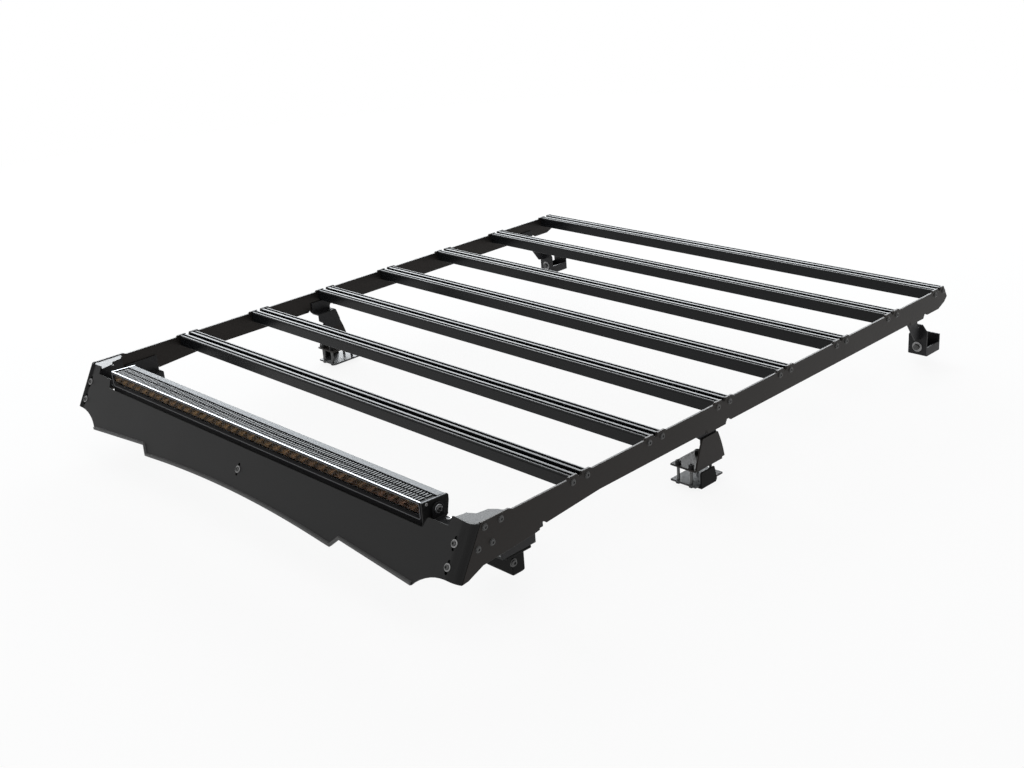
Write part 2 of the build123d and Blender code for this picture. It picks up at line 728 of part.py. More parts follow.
def front_hanger():
    """Bracket of the front foot: a leg on the rail, a web, a wall and a flange."""
    y = span(FRONT_FOOT, FRONT_FOOT_LENGTH)
    inner = FOOT_OUTER - SHEET
    web = block((inner, RAIL_INNER), y, (FRONT_WEB - SHEET, FRONT_WEB))
    wall = block((inner, FOOT_OUTER), y, (FRONT_FLANGE_LOW, FRONT_WEB))
    flange = block(
        (FOOT_OUTER - MIDDLE_PLATE_WIDTH, FOOT_OUTER), y, (FRONT_FLANGE_LOW, FRONT_FLANGE_LOW + SHEET)
    )
    return rail_leg(y, FRONT_WEB - SHEET) + web + wall + flange


def rear_plate():
    """Hanger of the rear foot: a leg on the rail, a floor, a slanted strut and a front plate."""
    y = (REAR_TAB - 3 * SHEET, REAR_TAB + TAB_LENGTH / 2)
    top = HANGER_LOW + SHEET
    bracket = rail_leg(y) + block((FOOT_OUTER, RAIL_INNER), y, (HANGER_LOW, top))
    strut = plate_yz(
        [
            (y[0], top),
            (y[1], top),
            (CUP_FRONT - 5 * SHEET, HANGER_LOW),
            (CUP_FRONT - 4 * SHEET, REAR_PLATE_TOP),
            (CUP_FRONT + SHEET, REAR_PLATE_TOP - 2 * SHEET),
            (CUP_FRONT + SHEET, REAR_STRUT_LOW),
            (CUP_FRONT - 6 * SHEET, REAR_STRUT_LOW + SHEET),
        ],
        FOOT_OUTER,
        FOOT_OUTER + SHEET,
    )
    low = CUP_LOW + SHEET / 2
    outline = Polyline(
        (CUP_INNER, low),
        (CUP_INNER, REAR_PLATE_TOP - 7 * SHEET),
        (CUP_INNER + 4 * SHEET, REAR_PLATE_TOP),
        (FOOT_OUTER + 1.5 * SHEET, REAR_PLATE_TOP),
        (CUP_OUTER, REAR_PLATE_TOP - 4 * SHEET),
        (CUP_OUTER, low),
        close=True,
    )
    plate = extrude(Plane.XZ.offset(-CUP_FRONT) * make_face(outline), -SHEET)
    return bracket + strut + plate


def rear_cup():
    """Open-topped cup behind the rear foot's plate, with a raised back."""
    x = (CUP_INNER, CUP_OUTER)
    y = (CUP_FRONT + SHEET, CUP_FRONT + CUP_LENGTH)
    outside = block(x, y, (CUP_LOW, CUP_RIM))
    inside = block(
        (x[0] + SHEET, x[1] - SHEET), (y[0] + SHEET, y[1] - SHEET), (CUP_LOW + SHEET, CUP_RIM)
    )
    back = block(x, (y[1] - SHEET, y[1]), (CUP_LOW, CUP_BACK_TOP))
    return outside - inside + back


def foot_bolts():
    """Bolt of the front foot's wall, bolt of its block and bolt with washer of the rear foot."""
    across = (1, 0, 0)
    wall = head((FOOT_OUTER, FRONT_FOOT, (FRONT_WEB + FRONT_FLANGE_LOW) / 2), across)
    clamp = head(front_bolt_seat(), across, WASHER_DIAMETER)
    x = (CUP_INNER + CUP_OUTER) / 2
    z = CUP_RIM
    washer = prism((x, CUP_FRONT, z), (0, -1, 0), REAR_WASHER, WASHER_THICKNESS)
    nose = head(
        (x, CUP_FRONT - WASHER_THICKNESS, z), (0, -1, 0), WASHER_DIAMETER, CLAMP_HEAD_HEIGHT
    )
    return [wall, clamp, washer + nose]


def build():
    """Every node's solids by name, in the deck's own zero."""
    nodes = {}
    first = slat()
    for i in range(SLAT_COUNT):
        nodes[f"slat_{i + 1}"] = [Pos(0, i * SLAT_PITCH, 0) * first]
    panel = fairing()
    nodes["fairing_panel"] = [panel]
    nodes["fairing_edge_trim"] = [trim(panel)]
    nodes["fairing_centre_bolt"] = fairing_bolts(0)
    nodes["light_bar_housing"] = [lamp_housing()]
    nodes["light_bar_lens"] = [lamp_lens()]
    nodes["light_bar_reflectors"] = [lamp_reflectors()]
    pairs = {
        "side_rail": [rail()],
        "corner_bracket": [corner_bracket()],
        "light_bar_end_cap": [lamp_end_cap()],
        "light_bar_arm": [lamp_arm()],
        "light_bar_bolts": lamp_bolts(),
        "slat_bolts": slat_bolts(),
        "corner_bolts": wing_bolts() + fairing_bolts(1),
        "front_foot_hanger": [front_hanger()],
        "front_foot_block": [front_block()],
        "middle_foot_hanger": [middle_hanger()],
        "middle_foot_riser": [middle_riser()],
        "middle_foot_plate": [middle_plate(LOWER_PLATE_TOP)],
        "middle_foot_saddle": [middle_saddle()],
        "middle_foot_bolts": clamp_bolts(),
        "rear_foot_plate": [rear_plate()],
        "rear_foot_cup": [rear_cup()],
        "foot_bolts": foot_bolts(),
    }
    for name, shapes in pairs.items():
        nodes[f"{name}_right"] = shapes
        nodes[f"{name}_left"] = [mirrored(shape) for shape in shapes]
    return nodes


def main():
    os.makedirs("parts", exist_ok=True)
    nodes = build()
    solids = {name: [s for shape in shapes for s in shape.solids()] for name, shapes in nodes.items()}
    box = Compound([s for group in solids.values() for s in group]).bounding_box()
    place = Pos(-box.center().X, -box.center().Y, -box.min.Z)
    for name, group in solids.items():
        export_step(place * Compound(group), f"parts/{name}.step")


main()
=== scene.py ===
from math import cos, pi, radians, sin, sqrt, tan

import bmesh
import bpy
from mathutils import Matrix, Vector


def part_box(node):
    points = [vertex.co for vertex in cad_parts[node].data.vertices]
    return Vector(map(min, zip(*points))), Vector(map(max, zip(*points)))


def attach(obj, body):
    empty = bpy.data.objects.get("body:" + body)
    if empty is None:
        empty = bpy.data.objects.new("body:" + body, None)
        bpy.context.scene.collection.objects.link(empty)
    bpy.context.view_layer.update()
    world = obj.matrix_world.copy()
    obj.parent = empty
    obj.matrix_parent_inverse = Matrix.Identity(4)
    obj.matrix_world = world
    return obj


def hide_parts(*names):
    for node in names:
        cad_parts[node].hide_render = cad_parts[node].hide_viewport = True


bl_info = {
    "name": "Flat platform roof rack",
    "version": (1, 0, 0),
    "blender": (4, 5, 0),
    "location": "View3D > Sidebar > Roof rack",
    "description": "Dresses the roof rack's frame with detailed pieces, finishes and a studio",
    "category": "Object",
}

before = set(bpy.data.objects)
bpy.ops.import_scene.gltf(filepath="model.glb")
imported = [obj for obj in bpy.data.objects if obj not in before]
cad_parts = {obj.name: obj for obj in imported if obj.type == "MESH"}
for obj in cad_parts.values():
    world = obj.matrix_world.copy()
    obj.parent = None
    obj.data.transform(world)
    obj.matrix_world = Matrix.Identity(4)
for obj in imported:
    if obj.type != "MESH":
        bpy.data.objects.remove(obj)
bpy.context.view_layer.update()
MM = 0.001
SIDES = (("right", 1), ("left", -1))
SLAT_NODES = sorted(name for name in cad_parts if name[:5] == "slat_" and name[5:].isdigit())
SLAT_LOW, SLAT_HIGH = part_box(SLAT_NODES[0])
DECK = Vector((0, SLAT_LOW.y, SLAT_HIGH.z))
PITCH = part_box(SLAT_NODES[1])[0].y - SLAT_LOW.y
RAIL_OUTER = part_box("side_rail_right")[1].x / MM

# Lengths from here on are millimetres: X from the middle, Y behind the first slat's front
# edge, Z above the slats' tops, and drops down the fairing's slope from its top edge.

MERGE_DISTANCE = 0.02

SLAT_WIDTH = 45.0
SLAT_DEPTH = 25.0
SLAT_FOOT_RADIUS = 1.2
HALF_SLAT = (
    ((0, 0), 3.6),
    ((5, 0), 0.5),
    ((5, -2.5), 0.3),
    ((11.5, -2.5), 0.3),
    ((11.5, 0), 0.5),
    ((17, 0), 0.9),
    ((17, -3.5), 0.3),
    ((12.5, -3.5), 0.3),
    ((12.5, -13), 1.0),
)
SLAT_BOLT_INSETS = (4.5, 40.5)
SLAT_BOLT_HEIGHT = -10.5
WING_BOLTS = ((-203.0, -8.9), (-167.0, -8.9), (-220.8, -42.0), (-189.4, -42.0))
RAIL_WASHER_PROUD = 0.7

LEAN = radians(29.07)
FAIRING_TOP = (-225.5, 5.8)
CAD_LEAN = radians(25.7)
CAD_FAIRING_TOP = (-232.0, 11.0)
TUCK_REACH = 22.2
SHEET = 3.0
BEND_START = 611.5
BEND_WIDTH = RAIL_OUTER - BEND_START
BEND_DEPTH = 13.0
BEND_LENGTH = 22.8
BEND_STEPS = 6
BEND_OVERLAP = 1.4
BEND_TOP_GAP = 3.9
BEND_TOP_RISE = 2.4
ARCH_HALF = 312.0
ARCH_DROP = 135.9
ARCH_RISE = 13.8
ARCH_STEPS = 16
LOWER_CORNERS = [(329.5, 117.3), (531.0, 133.5)]
SCALLOP = [(537.5, 126.5), (546.0, 119.5), (556.5, 113.2), (567.0, 108.4), (578.0, 104.9)]
SCALLOP += [(590.0, 102.6), (600.0, 101.6)]
SIDE_DROP = 101.5
UPPER_CORNERS = [(BEND_START, 2.2), (577.0, 0.4), (575.5, 18.0), (525.0, 19.0), (519.0, 37.8)]
UPPER_CORNERS += [(0.0, 37.8)]
UPPER_RADII = [0, 3.0, 2.5, 4.0, 3.0, 0]
SLOT_HALF = 9.5
SLOT_RADIUS = 3.2
FAIRING_BOLTS = [(x, drop) for x in (-599.5, 599.5) for drop in (41.0, 81.0)] + [(0, 80.0)]
FAIRING_WASHER_PROUD = 1.4
END_PLATE_DEPTH = 7.7
MIDDLE_PLATE_DEPTH = 4.7
TRIM_HALF_DEPTH = 3.2
TRIM_RISE = 3.6
TRIM_INSET = 1.5

FIN_MARGIN = 14
FIN_ROWS = ((-230.4, -215.4, 9.6), (-212.6, -199.2, 8.9))
FIN_HEIGHT = 3.6
LIP_INSET = 0.6
STRIP_FRONT = -196.6
BEAD_INSET = 1.6
BEAD_LOW = -20.6
BEAD_HIGH = 7.6
BEAD_CORNER = 5.0
LEDGE = [(-236.0, -17.4), (-237.0, -17.0), (-237.0, -15.6), (-236.0, -15.2)]
LEDGE_INSET = 8
CELL_SIDES = 20
CELL_RINGS = 5
CELL_SHARE = 0.47
PIVOT_PROUD = 8
PIVOT_OFFSET = 4
PIVOT_HEIGHT = -10
ARM_FOOT_PROUD = 32
ARM_FOOT_HEIGHT = -26
END_SCREW = (-225.5, 4.5)

CLAMP_BOLTS = [(sign * x, y) for _, sign in SIDES for x in (555, 587) for y in (373, 433)]
CLAMP_TOP = -137
CLAMP_LOW = -174
CLAMP_ROD = 38.0
FRONT_WALL_BOLT = (602, -108, -82.5)
FRONT_CLAMP_BOLT = (598, -120, -121)
REAR_CLAMP_BOLT = (598, 1196, -137)

CAMERA_LENS = 46.92
CAMERA_PLACE = (2061.44, -1456.27, 988.46)
CAMERA_RIGHT = (0.7002337, 0.71046552, -0.07008216)
CAMERA_UP = (-0.21758238, 0.30587816, 0.92687457)
CAMERA_BACK = (0.67994903, -0.63378016, 0.36877097)
WORLD_STRENGTH = 0.42
WHITE = (1, 1, 1, 1)
# Name, width and height, place and aim in metres, power in watts, colour
LAMPS = (
    ("top_softbox", (3.0, 3.0), (0.3, 0.6, 3.4), (0, 0, 0), 20, (1, 1, 1)),
    ("front_softbox", (2.4, 1.6), (0.6, -3.6, 1.9), (0, -0.4, 0.1), 16, (1, 1, 1)),
    ("rear_softbox", (7.0, 2.6), (-3.6, 3.05, 1.93), (0, 0, 0.18), 370, (0.93, 0.97, 1.0)),
)


def deck(x, y, z):
    """Row frame point of a place in millimetres on the deck."""
    return DECK + Vector((x, y, z)) * MM


def on_fairing(x, drop, proud=0.0):
    """Row frame point on the fairing's front face."""
    y = FAIRING_TOP[0] - drop * sin(LEAN) - proud * cos(LEAN)
    z = FAIRING_TOP[1] - drop * cos(LEAN) + proud * sin(LEAN)
    return deck(x, y, z)


def both(stem):
    return [f"{stem}_{side}" for side, _ in SIDES]


def sideways(x, y, z):
    """Seats at the same place on the right and the left, facing outwards."""
    return [(deck(sign * x, y, z), (sign, 0, 0)) for _, sign in SIDES]


def raised(seats_on, proud):
    """The seats moved out along their aims."""
    return [(place + Vector(aim) * proud * MM, aim) for place, aim in seats_on]


# Finishes


def add_node(tree, kind, settings=None, sockets=None):
    """New node with its settings, and its sockets linked or set by name or number."""
    made = tree.nodes.new(kind)
    for key, value in (settings or {}).items():
        if key == "stops":
            for stop, (position, level) in zip(made.color_ramp.elements, value):
                stop.position = position
                stop.color = (level, level, level, 1)
        else:
            setattr(made, key, value)
    for key, value in (sockets or {}).items():
        value = getattr(value, "socket", value)
        if isinstance(value, bpy.types.NodeSocket):
            tree.links.new(value, made.inputs[key])
        else:
            made.inputs[key].default_value = value
    return made


class Wire:
    """Shader value that turns sums, differences and products into Math nodes."""

    def __init__(self, tree, socket):
        self.tree = tree
        self.socket = socket

    def _math(self, operation, first, second):
        sockets = {0: first, 1: second}
        made = add_node(self.tree, "ShaderNodeMath", {"operation": operation}, sockets)
        return Wire(self.tree, made.outputs[0])

    def __add__(self, other):
        return self._math("ADD", self, other)

    def __radd__(self, other):
        return self._math("ADD", other, self)

    def __sub__(self, other):
        return self._math("SUBTRACT", self, other)

    def __rsub__(self, other):
        return self._math("SUBTRACT", other, self)

    def __mul__(self, other):
        return self._math("MULTIPLY", self, other)

    def __rmul__(self, other):
        return self._math("MULTIPLY", other, self)


class Nodes:
    """Shader tree that is filled node by node up to its output."""

    def __init__(self, tree, output):
        self.tree = tree
        tree.nodes.clear()
        self.out = tree.nodes.new("ShaderNodeOutput" + output)

    def node(self, kind, settings=None, sockets=None, output=0):
        """Any shader node but Math, as the value of one of its outputs."""
        made = add_node(self.tree, "ShaderNode" + kind, settings, sockets)
        return Wire(self.tree, made.outputs[output])

    def seen(self):
        """1 for rays from the camera, straight or by way of gloss or glass, 0 for the others."""
        kinds = ("Is Camera Ray", "Is Glossy Ray", "Is Transmission Ray")
        camera, glossy, through = [self.node("LightPath", output=kind) for kind in kinds]
        return camera + glossy + through

    def close(self, shader):
        self.tree.links.new(shader.socket, self.out.inputs[0])


class Finish(Nodes):
    """Material whose patterns follow the object's own coordinates."""

    def __init__(self, name):
        self.material = bpy.data.materials.new(name)
        self.material.use_nodes = True
        super().__init__(self.material.node_tree, "Material")
        self.place = self.node("TexCoord", output="Object")

    def along(self, axis):
        """Distance in metres along X, Y or Z, by number."""
        return self.node("SeparateXYZ", None, {0: self.place}, axis)

    def noise(self, scale, detail=2.0, stretch=(1, 1, 1)):
        mapped = self.node("Mapping", None, {"Vector": self.place, "Scale": stretch})
        sockets = {"Vector": mapped, "Scale": scale, "Detail": detail}
        return self.node("TexNoise", None, sockets)

    def ramp(self, value, low, high):
        """0 below low, 1 above high."""
        return self.node("ValToRGB", {"stops": ((low, 0), (high, 1))}, {"Fac": value})

    def blend(self, factor, first, second):
        """Colour between two colours."""
        sockets = {0: factor, 6: first, 7: second}
        return self.node("Mix", {"data_type": "RGBA"}, sockets, 2)

    def clouded(self, cloud, colour, spread):
        """The colour made darker and lighter by the cloud."""
        return self.blend(cloud, shade(colour, 1 - spread), shade(colour, 1 + spread))

    def bump(self, height, distance):
        sockets = {"Height": height, "Distance": distance, "Strength": 1.0}
        return self.node("Bump", None, sockets)

    def shader(self, sockets, edge=None, painted_shade_sockets=None):
        """Ends the material, with a duller coat mixed in where edge is above 0."""
        body = self.node("BsdfPrincipled", None, sockets)
        if edge:
            other = self.node("BsdfPrincipled", None, {**sockets, **painted_shade_sockets})
            body = self.node("MixShader", None, {"Fac": edge, 1: body, 2: other})
        self.close(body)
        return self.material


def shade(colour, factor):
    """The colour made lighter or darker, with full alpha."""
    return (colour[0] * factor, colour[1] * factor, colour[2] * factor, 1)


def powder_coat(name, colour, roughness, peel=0.00006, gloss=0.2, tint=(1, 1, 1)):
    """Satin powder coat: fine orange peel, uneven gloss and a trace of dust."""
    coat = Finish(name)
    cloud = coat.noise(scale=7, detail=4)
    dust = coat.ramp(coat.noise(scale=2600, detail=1), 0.66, 0.72)
    plain_coat = coat.clouded(cloud, colour, 0.18)
    return coat.shader(
        {
            "Base Color": coat.blend(dust * 0.1, plain_coat, shade(colour, 3.5)),
            "Roughness": roughness + (cloud - 0.5) * 0.16 + dust * 0.1,
            "Specular IOR Level": gloss,
            "Specular Tint": (*tint, 1),
            "Normal": coat.bump(coat.noise(scale=900), peel),
        }
    )


def sheet_coat(name, colour, roughness, peel=0.00006):
    """Powder coat of the front sheet, duller along its two bent ends."""
    coat = Finish(name)
    cloud = coat.noise(scale=7, detail=4)
    across = coat.along(0)
    # Painted shade over the bends: strong at the left end, weak at the right end.
    edge = coat.ramp(0 - across, 0.597, 0.6) * 0.95 + coat.ramp(across, 0.6, 0.606) * 0.35
    return coat.shader(
        {
            "Base Color": coat.clouded(cloud, colour, 0.18),
            "Roughness": roughness + (cloud - 0.5) * 0.16,
            "Specular IOR Level": 0.2,
            "Normal": coat.bump(coat.noise(scale=900), peel),
        },
        edge,
        {"Specular IOR Level": 0.02, "Base Color": shade(colour, 0.6)},
    # The painted shade coat: darker, with almost no reflection.
    )


def dark_steel(name, colour, roughness, metal, gloss=0.5):
    """Fastener steel, blackened or plain, rubbed bare in places."""
    steel = Finish(name)
    cloud = steel.noise(scale=160, detail=3)
    worn = steel.ramp(steel.noise(scale=420, detail=3), 0.58, 0.78)
    return steel.shader(
        {
            "Base Color": steel.blend(worn * 0.5, shade(colour, 1), shade(colour, 2.4)),
            "Metallic": metal + worn * 0.2,
            "Roughness": roughness + (cloud - 0.5) * 0.2,
            "Specular IOR Level": gloss,
            "Normal": steel.bump(cloud, 0.00004),
        }
    )


def moulded(name, colour, roughness, gloss=0.25):
    """Moulded rubber or plastic with a fine grain."""
    rubber = Finish(name)
    grain = rubber.noise(scale=1500)
    cloud = rubber.noise(scale=22, detail=3)
    return rubber.shader(
        {
            "Base Color": rubber.clouded(cloud, colour, 0.2),
            "Roughness": roughness + (grain - 0.5) * 0.2,
            "Specular IOR Level": gloss,
            "Normal": rubber.bump(grain, 0.00008),
        }
    )


def drawn_metal(name, colour, metal, roughness=0.24):
    """Satin metal edge of the light bar, drawn along the bar."""
    metal_edge = Finish(name)
    streak = metal_edge.noise(scale=900, detail=3, stretch=(0.02, 1, 1))
    return metal_edge.shader(
        {
            "Base Color": metal_edge.blend(streak, shade(colour, 0.85), shade(colour, 1)),
            "Metallic": metal,
            "Roughness": roughness + streak * 0.14,
            "Specular IOR Level": 0.3,
        }
    )


def mirror_cells(name, colour):
    """Tinted metallised plastic, ruddier to the right and dark in its upper half."""
    mirror = Finish(name)
    paler = (colour[0] * 0.8, colour[1] * 0.62, colour[2], 1)
    ruddy = (colour[0] * 0.6, colour[1] * 0.46, colour[2] * 0.85, 1)
    drift = mirror.noise(scale=9, stretch=(1, 0, 0))
    spots = mirror.ramp(mirror.noise(scale=55, detail=1, stretch=(1, 0, 0)), 0.35, 0.65)
    tint = mirror.blend(drift, shade(colour, 1.15), paler)
    tint = mirror.blend(mirror.ramp(mirror.along(0), 0.0, 0.42), tint, ruddy)
    tint = mirror.blend(spots * 0.6, tint, shade(colour, 0.35))
    # Painted shade: the top half of each cell is made nearly black, as if turned away from the
    # light.
    painted_shade_top = mirror.ramp(mirror.along(2), 0.1722, 0.1775)
    return mirror.shader(
        {
            "Base Color": mirror.blend(painted_shade_top, tint, shade(colour, 0.12)),
            "Metallic": 0.85,
            "Roughness": 0.3 + mirror.noise(scale=70, detail=3) * 0.16,
        }
    )


def clear_lens(name, colour):
    """Clear window that lets most light through without bending it."""
    lens = Finish(name)
    haze = lens.noise(scale=40, detail=3)
    return lens.shader(
        {
            "Base Color": lens.blend(haze, shade(colour, 0.8), shade(colour, 1)),
            "Roughness": 0.05 + haze * 0.05,
            "Specular IOR Level": 0.12,
            "Alpha": 0.14 + haze * 0.04,
        }
    )


def studio_floor(name, colour):
    """Pale floor that reads as white to the camera and keeps a soft shadow."""
    floor = Finish(name)
    paint = floor.blend(floor.noise(scale=3), shade(colour, 0.985), shade(colour, 1))
    matt = floor.node("BsdfDiffuse", None, {"Color": paint})
    glow = floor.node("Emission", None, {"Color": WHITE, "Strength": 1.0})
    reach = floor.node("VectorMath", {"operation": "LENGTH"}, {0: floor.place}, 1)
    far = floor.ramp(reach * 0.1, 0.2, 0.4)
    share = floor.seen() * (far * 0.12 + 0.88)
    floor.close(floor.node("MixShader", None, {"Fac": share, 1: matt, 2: glow}))
    return floor.material


# Key: maker, material's name, colour in the panel, the maker's other settings
MAKERS = {
    "slat": (powder_coat, "slat_coat", "slat", {"roughness": 0.28, "gloss": 0.16}),
    "rail": (powder_coat, "rail_coat", "rail", {"roughness": 0.4, "tint": (1, 0.93, 0.88)}),
    "fairing": (sheet_coat, "fairing_coat", "fairing", {"roughness": 0.46}),
    "bracket": (powder_coat, "bracket_coat", "coat", {"roughness": 0.32}),
    "foot": (powder_coat, "foot_coat", "coat", {"roughness": 0.42}),
    "plate": (powder_coat, "clamp_plate_coat", "plate", {"roughness": 0.34}),
    "housing": (
        powder_coat,
        "lamp_housing_coat",
        "housing",
        {"roughness": 0.38, "peel": 0.00003, "gloss": 0.05},
    ),
    "fins": (powder_coat, "lamp_fin_coat", "fins", {"roughness": 0.4, "peel": 0.00003}),
    "cap": (moulded, "lamp_cap_plastic", "plastic", {"roughness": 0.45}),
    "edge": (drawn_metal, "lamp_edge_metal", "edge", {"metal": 0.9}),
    "strip": (drawn_metal, "lamp_strip_metal", "strip", {"metal": 0.1, "roughness": 0.5}),
    "bead": (drawn_metal, "lamp_bead_metal", "bead", {"metal": 0.8}),
    "lens": (clear_lens, "lamp_lens_clear", "lens", {}),
    "mirror": (mirror_cells, "lamp_reflector_tint", "reflector", {}),
    "chip": (moulded, "lamp_chip", "chip", {"roughness": 0.35}),
    "rod": (dark_steel, "rod_steel", "rod", {"roughness": 0.3, "metal": 0.5}),
    "bolt": (dark_steel, "bolt_blackened", "bolt", {"roughness": 0.26, "metal": 0.6}),
    "oxide": (
        dark_steel,
        "bolt_black_oxide",
        "oxide",
        {"roughness": 0.4, "metal": 0.0, "gloss": 0.12},
    ),
    "steel": (dark_steel, "bright_steel", "steel", {"roughness": 0.22, "metal": 0.9}),
    "washer": (dark_steel, "washer_steel", "washer", {"roughness": 0.3, "metal": 0.5}),
    "trim": (moulded, "edge_trim_rubber", "trim", {"roughness": 0.55}),
    "rubber": (moulded, "saddle_rubber", "plastic", {"roughness": 0.6, "gloss": 0.1}),
    "floor": (studio_floor, "studio_floor", "floor", {}),
}
FINISHES = {}


def finish(key):
    """The material of that key, made once from the panel's colours."""
    if key not in FINISHES:
        maker, name, colour, settings = MAKERS[key]
        FINISHES[key] = maker(name, getattr(bpy.context.scene.rack_colours, colour), **settings)
    return FINISHES[key]


# Mesh helpers


def link(name, mesh):
    made = bpy.data.objects.new(name, mesh)
    bpy.context.scene.collection.objects.link(made)
    return made


def discard(made):
    """Deletes a helper object with its mesh."""
    old = made.data
    bpy.data.objects.remove(made)
    bpy.data.meshes.remove(old)


def to_mesh(name, bm, outward=True):
    """Object from a bmesh, with its normals turned outwards where asked."""
    if outward:
        bmesh.ops.recalc_face_normals(bm, faces=bm.faces)
    mesh = bpy.data.meshes.new(name)
    bm.to_mesh(mesh)
    bm.free()
    return link(name, mesh)


def freeze(made):
    """Turns the object's modifiers into plain mesh and removes them."""
    graph = bpy.context.evaluated_depsgraph_get()
    mesh = bpy.data.meshes.new_from_object(made.evaluated_get(graph))
    made.modifiers.clear()
    old = made.data
    made.data = mesh
    bpy.data.meshes.remove(old)
    return made


def smoothed(made, angle=35):
    """Smooth shading that keeps sharp corners sharp and large faces flat."""
    made.data.shade_smooth()
    made.data.set_sharp_from_angle(angle=radians(angle))
    normals = made.modifiers.new("normals", "WEIGHTED_NORMAL")
    normals.weight = 100
    normals.keep_sharp = True
    return freeze(made)


def soften(made, width, segments=2, angle=30):
    """Rounds the edges of a piece and smooths what is left."""
    bevel = made.modifiers.new("edge", "BEVEL")
    bevel.width = width * MM
    bevel.segments = segments
    bevel.limit_method = "ANGLE"
    bevel.angle_limit = radians(angle)
    bevel.use_clamp_overlap = True
    return smoothed(freeze(made), 50)


def settle(made, key, nodes=()):
    """Gives a finished piece its material and tells the frame what it stands for."""
    made.data.materials.clear()
    made.data.materials.append(finish(key))
    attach(made, "root")
    if nodes:
        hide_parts(*nodes)
    return made


def tuck(bm):
    """Draws the front edges of a copied piece back to the fairing sheet."""
    for vert in bm.verts:
        place = (vert.co - DECK) / MM
        face = CAD_FAIRING_TOP[0] + (place.z - CAD_FAIRING_TOP[1]) * tan(CAD_LEAN)
        sheet = FAIRING_TOP[0] + (place.z - FAIRING_TOP[1]) * tan(LEAN)
        if place.y < face + TUCK_REACH:
            vert.co.y += max(0.0, sheet - face) * MM


def flattened(bm):
    """Makes each flat area a single face."""
    bmesh.ops.dissolve_limit(bm, angle_limit=radians(1), verts=bm.verts, edges=bm.edges)


def solids(name, nodes, tucked=False):
    """Joined and merged copy of CAD nodes, with flat areas as single faces."""
    bm = bmesh.new()
    for node in nodes:
        bm.from_mesh(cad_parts[node].data)
    bmesh.ops.remove_doubles(bm, verts=bm.verts, dist=MERGE_DISTANCE * MM)
    if tucked:
        tuck(bm)
    flattened(bm)
    return to_mesh(name, bm)


def dressed(name, nodes, width, key, segments=2, tucked=False):
    """The CAD nodes with rounded edges, as one piece."""
    made = solids(name, nodes, tucked)
    return settle(soften(made, width, segments), key, nodes)


def rounded(points, radii, steps=3, share=0.45):
    """Outline whose corners are rounded by arcs of the given radii."""
    made = []
    count = len(points)
    for i, (point, radius) in enumerate(zip(points, radii)):
        here = Vector(point)
        back = Vector(points[i - 1]) - here
        ahead = Vector(points[(i + 1) % count]) - here
        room = share * min(back.length, ahead.length)
        cut = min(radius / tan(back.angle(ahead) / 2), room)
        if cut < 0.01:
            made.append(here)
            continue
        start = here + back.normalized() * cut
        end = here + ahead.normalized() * cut
        for step in range(steps + 1):
            t = step / steps
            made.append(start * (1 - t) ** 2 + here * 2 * t * (1 - t) + end * t**2)
    return made


def drawn_bar(name, outline, low, high):
    """Bar along X with an outline of (Y, Z) points."""
    bm = bmesh.new()
    rings = [[bm.verts.new(deck(x, *point)) for point in outline] for x in (low, high)]
    for ring in rings:
        bm.faces.new(ring)
    for i in range(len(outline)):
        j = (i + 1) % len(outline)
        bm.faces.new((rings[0][i], rings[0][j], rings[1][j], rings[1][i]))
    return to_mesh(name, bm)


def turned(name, outline, sides):
    """Object turned about Z from (radius, height), with hexagonal rings where asked."""
    bm = bmesh.new()
    rings = []
    for radius, height, *hexagon in outline:
        ring = []
        for k in range(sides):
            angle = 2 * pi * k / sides
            reach = radius * MM
            if hexagon:
                reach *= cos(pi / 6) / cos(angle % (pi / 3) - pi / 6)
            ring.append(bm.verts.new((reach * cos(angle), reach * sin(angle), height * MM)))
        rings.append(ring)
    for low, high in zip(rings, rings[1:]):
        for k in range(sides):
            n = (k + 1) % sides
            bm.faces.new((low[k], low[n], high[n], high[k]))
    bm.faces.new(rings[0])
    bm.faces.new(rings[-1])
    return to_mesh(name, bm)


def button_head(name, radius, height, socket, sides=24):
    """Template of a button head with a hexagon socket, standing on Z 0."""
    rim = socket * 1.18
    dome = [(radius, -0.4), (radius, 0.2 * height)]
    for step in range(1, 6):
        angle = step / 6 * pi / 2
        dome.append((rim + (radius - rim) * cos(angle), height * (0.2 + 0.8 * sin(angle))))
    dome += [(rim, height), (socket, height * 0.94, True), (socket * 0.92, height * 0.3, True)]
    return smoothed(turned(name, dome, sides), 40)


def cap_head(name, radius, height, socket, sides=24):
    """Template of a cylindrical head with a hexagon socket, standing on Z 0."""
    side = [(radius, -0.3), (radius, height - 0.6), (radius - 0.6, height)]
    side += [(socket * 1.15, height), (socket, height - 0.4, True), (socket, height * 0.4, True)]
    return smoothed(turned(name, side, sides), 40)


def hex_nut(name, across, height):
    """Template of a hexagon head with a chamfered top, standing on Z 0."""
    corner = across * 0.577
    outline = [(corner, -0.3), (corner, height * 0.88), (across * 0.5, height)]
    return turned(name, outline, 6)


def round_disc(name, radius, height, hole=0.0, sides=32):
    """Template of a washer with a chamfered rim, standing on Z 0."""
    soft = min(0.35 * height, 0.5)
    outline = [(radius, 0), (radius, height - soft), (radius - soft, height)]
    outline.append((max(hole, 0.2), height))
    return smoothed(turned(name, outline, sides), 40)


# Node trees for what repeats or follows a path


